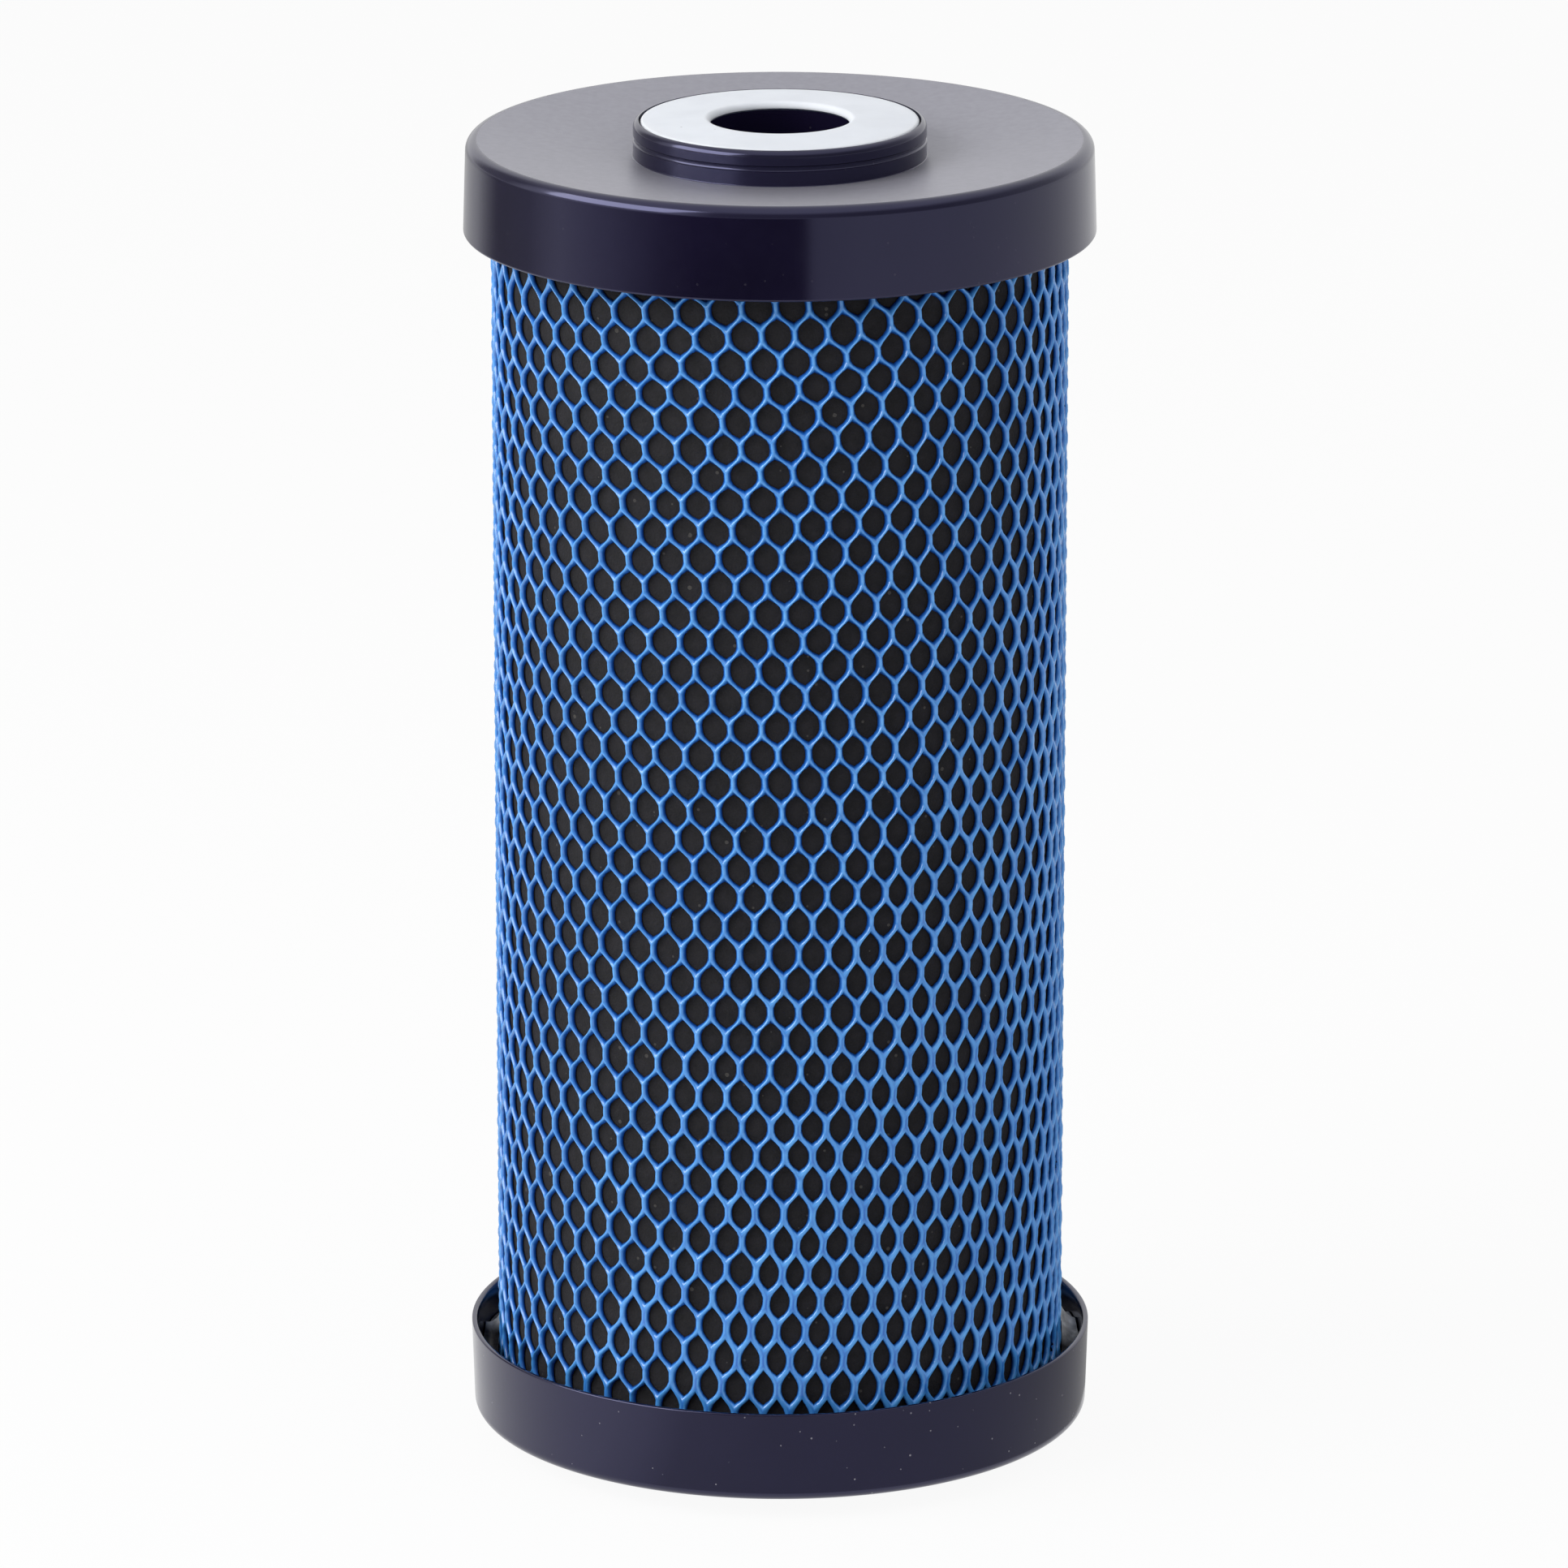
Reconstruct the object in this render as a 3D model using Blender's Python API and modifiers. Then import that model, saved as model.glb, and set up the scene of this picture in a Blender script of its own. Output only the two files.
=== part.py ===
"""Carbon block filter cartridge, open at both ends.

Two equal moulded caps close the ends of a wrapped carbon block in a net sleeve. The axis is Z, and
the origin is at the centre of the bottom gasket's face, on which the cartridge stands.
"""

import math

import bmesh
import bpy

# Overall sizes, in metres
OVERALL_LENGTH = 0.24765
CAP_DIAMETER = 0.1143

# Gaps between neighbours
FIT_GAP = 0.0003
SKIRT_CLEARANCE = 0.0035

# End cap
CAP_HEIGHT = 0.0168
CAP_FACE_DISH = 0.0031
CAP_WALL = 0.0014
CAP_FACE_THICKNESS = 0.0020
CAP_DRAFT_ANGLE = math.radians(1.75)
CAP_EDGE_RADIUS = 0.0020
CAP_RIM_ROUND = 0.0003

# Boss on the cap's face
BOSS_DIAMETER = 0.0530
BOSS_HEIGHT = 0.0064
BOSS_WALL = 0.0018
BOSS_RIM_WIDTH = 0.0008
BOSS_RIM_LAND = 0.0001
BOSS_SHOULDER_DROP = 0.0013
BOSS_BASE_FILLET = 0.0003
GROOVE_HEIGHT = 0.0030
GROOVE_WIDTH = 0.0005
GROOVE_DEPTH = 0.00025

# Neck that centres the cap in the bore
NECK_BORE_DIAMETER = 0.0256
NECK_WALL = 0.0015
NECK_LENGTH = 0.0120
SEAT_THICKNESS = 0.0016

# Gasket
GASKET_THICKNESS = 0.0020
GASKET_PROUD = 0.0004
GASKET_OVERHANG = 0.0002
GASKET_INNER_ROUND = 0.0009
GASKET_OUTER_ROUND = 0.0003

# Hot-melt potting
POTTING_DEPTH = 0.0025
POTTING_RISE = 0.0026
POTTING_DISH = 0.0008

# Wraps round and inside the block
OUTER_WRAP_THICKNESS = 0.0009
INNER_WRAP_THICKNESS = 0.0006

# Net sleeve
NET_THICKNESS = 0.0012
NET_STRAND_WIDTH = 0.0036
NET_BOND_LENGTH = 0.0077
NET_CELLS_AROUND = 20
NET_ROWS = 15
NET_EDGE_DIP = 0.0001

# Facets
TURN_STEPS = 40
EDGE_ARC_STEPS = 4
SHOULDER_ARC_STEPS = 3
GASKET_ARC_STEPS = 3
SMOOTH_ANGLE = math.radians(35.0)
MERGE_DISTANCE = 0.00001

# Heights in the cap's own frame: the foot of its boss is at 0 and the boss points up
BOSS_TOP = BOSS_HEIGHT
SEAT_Z = BOSS_TOP + GASKET_PROUD - GASKET_THICKNESS - FIT_GAP
POCKET_TOP = SEAT_Z - SEAT_THICKNESS
INNER_FACE_Z = -CAP_FACE_THICKNESS
BLOCK_END_Z = INNER_FACE_Z - POTTING_DEPTH - 2.0 * FIT_GAP
EDGE_Z = CAP_FACE_DISH
INNER_EDGE_Z = EDGE_Z - CAP_FACE_THICKNESS
RIM_Z = EDGE_Z - CAP_HEIGHT
NECK_END_Z = INNER_FACE_Z - NECK_LENGTH
POTTING_LIP_Z = BLOCK_END_Z - POTTING_RISE

# Radii from the cap's rim inwards
RIM_RADIUS = CAP_DIAMETER / 2.0
NET_OUTER_RADIUS = RIM_RADIUS - CAP_WALL - SKIRT_CLEARANCE
NET_INNER_RADIUS = NET_OUTER_RADIUS - NET_THICKNESS
NET_CHORD_FACTOR = math.cos(math.pi / (2.0 * NET_CELLS_AROUND))
WRAP_OUTER_RADIUS = NET_INNER_RADIUS * NET_CHORD_FACTOR - NET_EDGE_DIP - FIT_GAP
WRAP_INNER_RADIUS = WRAP_OUTER_RADIUS - OUTER_WRAP_THICKNESS
BLOCK_RADIUS = WRAP_INNER_RADIUS - FIT_GAP

# Radii from the bore outwards
NECK_BORE_RADIUS = NECK_BORE_DIAMETER / 2.0
NECK_RADIUS = NECK_BORE_RADIUS + NECK_WALL
LINER_INNER_RADIUS = NECK_RADIUS + FIT_GAP
LINER_OUTER_RADIUS = LINER_INNER_RADIUS + INNER_WRAP_THICKNESS
BLOCK_BORE_RADIUS = LINER_OUTER_RADIUS + FIT_GAP
BOSS_RADIUS = BOSS_DIAMETER / 2.0
SEAT_RADIUS = BOSS_RADIUS - BOSS_RIM_WIDTH
POCKET_RADIUS = BOSS_RADIUS - BOSS_WALL
GASKET_RADIUS = SEAT_RADIUS - FIT_GAP
GASKET_HOLE_RADIUS = NECK_BORE_RADIUS - GASKET_OVERHANG

# Heights in the cartridge's frame
CAP_FACE_OFFSET = BOSS_HEIGHT + GASKET_PROUD
TOP_FACE_Z = OVERALL_LENGTH - CAP_FACE_OFFSET
BOTTOM_FACE_Z = CAP_FACE_OFFSET
BLOCK_TOP_Z = TOP_FACE_Z + BLOCK_END_Z
BLOCK_BOTTOM_Z = BOTTOM_FACE_Z - BLOCK_END_Z
BLOCK_LENGTH = BLOCK_TOP_Z - BLOCK_BOTTOM_Z


def clear_scene():
    """Remove every object of the open scene."""
    for obj in list(bpy.data.objects):
        bpy.data.objects.remove(obj, do_unlink=True)


def new_collection(name):
    """A collection linked to the scene."""
    collection = bpy.data.collections.new(name)
    bpy.context.scene.collection.children.link(collection)
    return collection


def finish_material(name, colour, roughness):
    """A plain plastic, fabric or rubber finish."""
    material = bpy.data.materials.new(name)
    material.use_nodes = True
    shader = material.node_tree.nodes["Principled BSDF"]
    shader.inputs["Base Color"].default_value = (*colour, 1.0)
    shader.inputs["Roughness"].default_value = roughness
    shader.inputs["Metallic"].default_value = 0.0
    return material


def arc(centre, radii, start, end, steps):
    """Points of an elliptic arc in the profile plane, both ends included."""
    points = []
    for step in range(steps + 1):
        angle = math.radians(start + (end - start) * step / steps)
        radius = centre[0] + radii[0] * math.cos(angle)
        height = centre[1] + radii[1] * math.sin(angle)
        points.append((radius, height))
    return points


def shade_round(mesh):
    """Smooth shading with crisp edges where the profile turns sharply."""
    mesh.shade_smooth()
    mesh.set_sharp_from_angle(angle=SMOOTH_ANGLE)


def evaluated_mesh(obj, name):
    """The object's mesh with its modifiers applied."""
    graph = bpy.context.evaluated_depsgraph_get()
    mesh = bpy.data.meshes.new_from_object(obj.evaluated_get(graph))
    mesh.name = name
    return mesh


def turned_mesh(name, profile):
    """Turn a closed outline, listed down its outer side, once round Z."""
    outline = bpy.data.meshes.new(name + "_outline")
    count = len(profile)
    points = [(radius, 0.0, height) for radius, height in profile]
    edges = [(index, (index + 1) % count) for index in range(count)]
    outline.from_pydata(points, edges, [])
    lathe = bpy.data.objects.new(name + "_lathe", outline)
    bpy.context.scene.collection.objects.link(lathe)
    screw = lathe.modifiers.new("turn", "SCREW")
    screw.axis = "Z"
    screw.angle = 2.0 * math.pi
    screw.steps = TURN_STEPS
    screw.render_steps = TURN_STEPS
    screw.use_merge_vertices = True
    screw.merge_threshold = MERGE_DISTANCE
    mesh = evaluated_mesh(lathe, name)
    bpy.data.objects.remove(lathe, do_unlink=True)
    bpy.data.meshes.remove(outline)
    shade_round(mesh)
    return mesh


def place(name, mesh, material, collection, height=0.0, inverted=False):
    """Put a mesh on the axis at a height, upright or turned over."""
    if not mesh.materials:
        mesh.materials.append(material)
    obj = bpy.data.objects.new(name, mesh)
    obj.location = (0.0, 0.0, height)
    if inverted:
        obj.rotation_euler = (math.pi, 0.0, 0.0)
    collection.objects.link(obj)
    return obj


def skirt_radius(height):
    """Outer radius of the drafted skirt at a height in the cap's frame."""
    return RIM_RADIUS - (height - RIM_Z) * math.tan(CAP_DRAFT_ANGLE)


def cap_profile():
    """Outline of the cap: seat, boss, dished face, skirt, pocket and neck."""
    shoulder_run = BOSS_RIM_WIDTH - BOSS_RIM_LAND
    shoulder_centre = (BOSS_RADIUS - shoulder_run, BOSS_TOP - BOSS_SHOULDER_DROP)
    shoulder = arc(shoulder_centre, (shoulder_run, BOSS_SHOULDER_DROP), 90.0, 0.0, SHOULDER_ARC_STEPS)
    edge_radius = skirt_radius(EDGE_Z - CAP_EDGE_RADIUS)
    edge_centre = (edge_radius - CAP_EDGE_RADIUS, EDGE_Z - CAP_EDGE_RADIUS)
    face_slope = math.degrees(math.atan2(CAP_FACE_DISH, edge_centre[0] - BOSS_RADIUS))
    edge_start = 90.0 + face_slope
    edge = arc(edge_centre, (CAP_EDGE_RADIUS, CAP_EDGE_RADIUS), edge_start, 0.0, EDGE_ARC_STEPS)
    inner_rim = RIM_RADIUS - CAP_WALL
    outline = [(NECK_BORE_RADIUS, SEAT_Z), (SEAT_RADIUS, SEAT_Z), (SEAT_RADIUS, BOSS_TOP)]
    outline += shoulder
    outline += [
        (BOSS_RADIUS, GROOVE_HEIGHT + GROOVE_WIDTH / 2.0),
        (BOSS_RADIUS - GROOVE_DEPTH, GROOVE_HEIGHT),
        (BOSS_RADIUS, GROOVE_HEIGHT - GROOVE_WIDTH / 2.0),
        (BOSS_RADIUS, BOSS_BASE_FILLET),
        (BOSS_RADIUS + BOSS_BASE_FILLET, 0.0),
    ]
    outline += edge
    outline += [
        (RIM_RADIUS, RIM_Z + CAP_RIM_ROUND),
        (RIM_RADIUS - CAP_RIM_ROUND, RIM_Z),
        (inner_rim + CAP_RIM_ROUND, RIM_Z),
        (inner_rim, RIM_Z + CAP_RIM_ROUND),
        (skirt_radius(INNER_EDGE_Z) - CAP_WALL, INNER_EDGE_Z),
        (POCKET_RADIUS, INNER_FACE_Z),
        (POCKET_RADIUS, POCKET_TOP),
        (NECK_RADIUS, POCKET_TOP),
        (NECK_RADIUS, NECK_END_Z),
        (NECK_BORE_RADIUS, NECK_END_Z),
    ]
    return outline


def gasket_profile():
    """Outline of the flat ring, its underside at 0, rounded at the hole and rim."""
    inner_centre = (GASKET_HOLE_RADIUS + GASKET_INNER_ROUND, GASKET_THICKNESS - GASKET_INNER_ROUND)
    inner_radii = (GASKET_INNER_ROUND, GASKET_INNER_ROUND)
    outline = arc(inner_centre, inner_radii, 180.0, 90.0, GASKET_ARC_STEPS)
    outline += [
        (GASKET_RADIUS - GASKET_OUTER_ROUND, GASKET_THICKNESS),
        (GASKET_RADIUS, GASKET_THICKNESS - GASKET_OUTER_ROUND),
        (GASKET_RADIUS, 0.0),
        (GASKET_HOLE_RADIUS, 0.0),
    ]
    return outline


def potting_profile():
    """Outline of the adhesive: boss pocket, layer under the block and dished lip in the skirt."""
    layer_foot = INNER_FACE_Z - FIT_GAP
    layer_edge = INNER_EDGE_Z - FIT_GAP
    layer_bottom = BLOCK_END_Z + FIT_GAP
    lip_outer = skirt_radius(POTTING_LIP_Z) - CAP_WALL - FIT_GAP
    lip_inner = NET_OUTER_RADIUS + FIT_GAP
    return [
        (NECK_RADIUS + FIT_GAP, POCKET_TOP - FIT_GAP),
        (POCKET_RADIUS - FIT_GAP, POCKET_TOP - FIT_GAP),
        (POCKET_RADIUS - FIT_GAP, layer_foot),
        (skirt_radius(layer_edge) - CAP_WALL - FIT_GAP, layer_edge),
        (lip_outer, POTTING_LIP_Z),
        ((lip_outer + lip_inner) / 2.0, POTTING_LIP_Z + POTTING_DISH),
        (lip_inner, POTTING_LIP_Z),
        (lip_inner, layer_bottom),
        (NECK_RADIUS + FIT_GAP, layer_bottom),
    ]


def tube_profile(inner, outer, length):
    """Outline of a plain tube standing on 0."""
    return [(inner, length), (outer, length), (outer, 0.0), (inner, 0.0)]


def net_corner(column, height):
    """Point on the net's inner surface at a half-cell column and a height."""
    angle = math.pi * column / NET_CELLS_AROUND
    x = NET_INNER_RADIUS * math.cos(angle)
    y = NET_INNER_RADIUS * math.sin(angle)
    return (x, y, height)


def net_sheet():
    """A tube of upright six-sided cells whose upright sides are the bonds."""
    rise = (BLOCK_LENGTH - NET_ROWS * NET_BOND_LENGTH) / (NET_ROWS + 1)
    sheet = bmesh.new()
    corners = {}

    def corner(column, line):
        key = (column % (2 * NET_CELLS_AROUND), line)
        if key not in corners:
            height = (line + 1) // 2 * rise + line // 2 * NET_BOND_LENGTH
            corners[key] = sheet.verts.new(net_corner(key[0], height))
        return corners[key]

    for row in range(NET_ROWS):
        base = 2 * row
        for cell in range(NET_CELLS_AROUND):
            middle = 2 * cell + row % 2
            outline = [
                corner(middle, base),
                corner(middle + 1, base + 1),
                corner(middle + 1, base + 2),
                corner(middle, base + 3),
                corner(middle - 1, base + 2),
                corner(middle - 1, base + 1),
            ]
            sheet.faces.new(outline)
    sheet.normal_update()
    return sheet


def net_mesh():
    """Open each cell to leave strands, and raise each strand to a ridge along its middle."""
    sheet = net_sheet()
    weights = sheet.verts.layers.deform.verify()
    cells = list(sheet.faces)
    ridge = list(sheet.verts)
    half_strand = NET_STRAND_WIDTH / 2.0
    bmesh.ops.inset_individual(sheet, faces=cells, thickness=half_strand, use_even_offset=True)
    bmesh.ops.delete(sheet, geom=cells, context="FACES")
    for vert in ridge:
        vert[weights][0] = 1.0
    sheet.normal_update()
    strands = bpy.data.meshes.new("net_strands")
    sheet.to_mesh(strands)
    sheet.free()
    former = bpy.data.objects.new("net_former", strands)
    former.vertex_groups.new(name="ridge")
    bpy.context.scene.collection.objects.link(former)
    solidify = former.modifiers.new("thickness", "SOLIDIFY")
    solidify.thickness = NET_THICKNESS
    solidify.offset = 1.0
    solidify.vertex_group = "ridge"
    solidify.thickness_vertex_group = 0.0
    weld = former.modifiers.new("closed_edges", "WELD")
    weld.merge_threshold = MERGE_DISTANCE
    mesh = evaluated_mesh(former, "netting_sleeve")
    bpy.data.objects.remove(former, do_unlink=True)
    bpy.data.meshes.remove(strands)
    shade_round(mesh)
    return mesh


def build_caps(parts):
    """Two equal caps, the lower one turned over."""
    plastic = finish_material("indigo_plastic", (0.022, 0.017, 0.045), 0.28)
    mesh = turned_mesh("end_cap", cap_profile())
    place("top_cap", mesh, plastic, parts, TOP_FACE_Z)
    place("bottom_cap", mesh, plastic, parts, BOTTOM_FACE_Z, inverted=True)


def build_gaskets(parts):
    """Two equal rings, face outwards, each in its cap's seat."""
    rubber = finish_material("white_rubber", (0.80, 0.83, 0.86), 0.55)
    mesh = turned_mesh("gasket", gasket_profile())
    place("top_gasket", mesh, rubber, parts, OVERALL_LENGTH - GASKET_THICKNESS)
    place("bottom_gasket", mesh, rubber, parts, GASKET_THICKNESS, inverted=True)


def build_potting(parts):
    """Adhesive that fixes each cap to the block's end."""
    hot_melt = finish_material("hot_melt", (0.46, 0.45, 0.42), 0.30)
    mesh = turned_mesh("potting", potting_profile())
    place("top_potting", mesh, hot_melt, parts, TOP_FACE_Z)
    place("bottom_potting", mesh, hot_melt, parts, BOTTOM_FACE_Z, inverted=True)


def build_block(parts):
    """Carbon block, the wrap round it and the liner in its bore."""
    carbon = finish_material("carbon", (0.012, 0.011, 0.011), 0.85)
    outer_cloth = finish_material("black_nonwoven", (0.016, 0.014, 0.014), 0.90)
    inner_cloth = finish_material("white_nonwoven", (0.60, 0.60, 0.58), 0.90)
    block = tube_profile(BLOCK_BORE_RADIUS, BLOCK_RADIUS, BLOCK_LENGTH)
    wrap = tube_profile(WRAP_INNER_RADIUS, WRAP_OUTER_RADIUS, BLOCK_LENGTH)
    liner = tube_profile(LINER_INNER_RADIUS, LINER_OUTER_RADIUS, BLOCK_LENGTH)
    place("carbon_block", turned_mesh("carbon_block", block), carbon, parts, BLOCK_BOTTOM_Z)
    place("outer_wrap", turned_mesh("outer_wrap", wrap), outer_cloth, parts, BLOCK_BOTTOM_Z)
    place("inner_wrap", turned_mesh("inner_wrap", liner), inner_cloth, parts, BLOCK_BOTTOM_Z)


def build_net(parts):
    """Net sleeve over the wrap, its ends held in the potting."""
    polyethylene = finish_material("blue_polyethylene", (0.045, 0.19, 0.56), 0.35)
    place("netting_sleeve", net_mesh(), polyethylene, parts, BLOCK_BOTTOM_Z)


def main():
    """Build the cartridge."""
    clear_scene()
    parts = new_collection("filter_cartridge")
    build_block(parts)
    build_net(parts)
    build_potting(parts)
    build_caps(parts)
    build_gaskets(parts)


main()
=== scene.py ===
"""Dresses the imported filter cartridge: fine surfaces, finishes, stage, light and camera.

Lengths are in metres and angles in radians. The front of the cartridge is at -Y, and an
angle round the axis is 0 there and grows towards +X.
"""

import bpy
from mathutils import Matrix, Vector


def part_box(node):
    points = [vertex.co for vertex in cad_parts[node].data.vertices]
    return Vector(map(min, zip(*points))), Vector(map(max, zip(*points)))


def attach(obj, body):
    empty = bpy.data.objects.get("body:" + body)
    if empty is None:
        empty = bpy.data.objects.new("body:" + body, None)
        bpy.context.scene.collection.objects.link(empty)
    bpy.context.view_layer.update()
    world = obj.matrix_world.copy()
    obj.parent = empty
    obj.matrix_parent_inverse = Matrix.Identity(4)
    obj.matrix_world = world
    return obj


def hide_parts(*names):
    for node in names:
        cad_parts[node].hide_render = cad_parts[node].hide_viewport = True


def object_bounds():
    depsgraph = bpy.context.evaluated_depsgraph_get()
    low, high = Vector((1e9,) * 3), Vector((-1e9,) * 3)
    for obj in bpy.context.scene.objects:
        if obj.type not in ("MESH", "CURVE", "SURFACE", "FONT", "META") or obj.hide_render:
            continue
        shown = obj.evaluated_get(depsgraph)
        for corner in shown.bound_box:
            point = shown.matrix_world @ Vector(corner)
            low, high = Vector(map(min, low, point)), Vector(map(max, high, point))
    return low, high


bl_info = {
    "name": "Filter cartridge dressing",
    "version": (1, 0, 0),
    "blender": (4, 5, 0),
    "location": "3D View > Sidebar > Cartridge",
    "description": "Builds the caps, gaskets, net, wraps, adhesive and stage of a filter cartridge",
    "category": "Object",
}

import math

import bpy
import numpy as np
from bpy.props import FloatProperty, FloatVectorProperty, IntProperty, PointerProperty
from bpy.types import Operator, Panel, PropertyGroup
from mathutils import Vector

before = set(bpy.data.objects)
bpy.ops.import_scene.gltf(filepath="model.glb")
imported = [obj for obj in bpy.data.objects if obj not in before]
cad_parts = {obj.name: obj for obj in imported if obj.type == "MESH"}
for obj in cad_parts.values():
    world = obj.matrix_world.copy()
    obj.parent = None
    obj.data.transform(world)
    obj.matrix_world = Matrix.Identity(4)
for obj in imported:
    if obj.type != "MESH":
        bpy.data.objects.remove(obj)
CAD_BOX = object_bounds()

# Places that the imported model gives
_, CAP_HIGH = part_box("top_cap")
GASKET_LOW, GASKET_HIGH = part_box("top_gasket")
_, NET_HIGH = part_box("netting_sleeve")
_, LINER_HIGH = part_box("inner_wrap")
BLOCK_LOW, BLOCK_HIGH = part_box("carbon_block")
MIDDLE_Z = (CAD_BOX[0].z + CAD_BOX[1].z) / 2.0

MAIN_BODY = "cartridge"
LIFTING_BODY = "loose_gasket"
FULL_TURN = 2.0 * math.pi
MM = 0.001
FIT_GAP = 0.3 * MM
SKIN_GAP = 0.1 * MM
TURN_STEPS = 288
SHARP_ANGLE = math.radians(35.0)
WHITE = (1.0, 1.0, 1.0, 1.0)

# Distance from a straight's ends of the points that hold it, and depth that still counts as the face
CAP_MARGIN = 0.15 * MM
GASKET_MARGIN = 0.12 * MM
FACE_DEPTH = 0.1 * MM

# Net: rows from the middle to place 1, where the tilt fades at either end, and the gathered ends
NET_HALF_ROWS = 19.0
NET_TOP_FADE = (1.0, 1.12)
NET_FOOT_FADE = (1.06, 1.20)
NET_FREE_HALF = 106.5 * MM
NET_END_RUN = 5.4 * MM
NET_MOST_INSET = 0.6
# Rings of a cell: share of the way to the hole, what a flat cell adds to it, heights, and painted shade of
# the sunk middle, shoulder and wall, deeper where the strands lie in shade, the wall less so in a flat cell
RING_SHARES = (0.0, 0.27, 0.55, 1.0, 0.0)
RING_SPREAD = (0.0, 0.25, 0.24, 0.0, 0.0)
CREST_SINK = 0.26
SHOULDER_SWELL = 0.05
WALL_HEIGHT = 0.62
SUNK_PAINTED_SHADE = 0.78
SHOULDER_PAINTED_SHADE = 0.06
WALL_PAINTED_SHADE = 0.60
WALL_SHADE_FADE = 0.18

# Wraps: place of the seams, share of cells with lint, steps round and along, and the liner's sizes
SEAM_TURN = math.radians(168.0)
OUTER_LINT = 0.13
INNER_LINT = 0.1
OUTER_STEPS = (300, 110)
INNER_STEPS = (96, 60)
LINER_THICKNESS = 0.6 * MM
LINER_RELIEF = 0.02 * MM

# Adhesive: steps round and across the lip, and how smear and string are drawn up
ADHESIVE_STEPS = 480
LIP_STEPS = 9
CRUMPLE = 0.30
STRING_SHARE = 0.75
MOST_DRAWN = 1.1
LEAST_CLIMB = 0.35

# Stage: floor, side light, and the dark card that only reflections show: a painted reflection of a dark room
# before the cartridge, and painted shade on the floor that the lower cap reflects
FLOOR_REACH = 6.0
FLOOR_STEPS = 9
FLOOR_DROP = 0.05 * MM
SIDE_BOX = (1.0, 1.0)
PANEL_REACH = 0.85
PANEL_RISE = (-8.0, 60.0)
SHADE_SHEET_RADII = (0.35, 0.062)
SHADE_SHEET_LIFT = 0.2 * MM
# Cover of the dark panel's foot, its upper part and the dark sheet, a painted reflection and painted shade:
# degrees from the front, and share
PANEL_FOOT = (
    (-140.0, 0.30), (-122.0, 0.84), (-100.0, 0.69), (-84.0, 0.27), (-62.0, 0.58), (-43.0, 0.90),
    (-30.0, 1.0), (9.5, 1.0), (10.5, 0.44), (29.0, 0.31), (110.0, 0.27), (140.0, 0.10),
)
PANEL_HEAD = (
    (-150.0, 0.0), (-135.0, 0.70), (-114.0, 0.70), (-102.0, 0.0), (-34.0, 0.0), (-24.0, 0.75),
    (60.0, 0.75), (115.0, 0.50), (140.0, 0.0),
)
# Painted shade: the dark sheet darkens the floor at the front and right in the lower cap's reflection
SHADE_SHEET_COVER = (
    (-46.0, 0.0), (-36.0, 0.12), (-25.0, 0.38), (0.0, 0.47), (60.0, 0.49), (92.0, 0.59),
    (121.0, 0.61), (145.0, 0.42), (170.0, 0.0),
)
# Degrees above level over which the panel's foot ends, its upper part begins, and that part ends
FOOT_END = (3.0, 10.0)
HEAD_START = (3.0, 11.0)
HEAD_END = (32.0, 60.0)


def number(name, description, default, **kind):
    """A number for the settings."""
    return FloatProperty(name=name, description=description, default=default, **kind)


def offset(name, description, default, **kind):
    """A length in metres that may be negative."""
    return number(name, description, default, subtype="DISTANCE", unit="LENGTH", precision=5, **kind)


def length(name, description, default):
    """A size in metres."""
    return offset(name, description, default, min=0.0)


def angle(name, description, degrees):
    """An angle, given in degrees."""
    return number(name, description, math.radians(degrees), subtype="ANGLE", unit="ROTATION")


def colour(name, description, default):
    """A linear colour for the settings."""
    return FloatVectorProperty(
        name=name, description=description, default=default, size=3, min=0.0, max=1.0, subtype="COLOR"
    )


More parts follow.
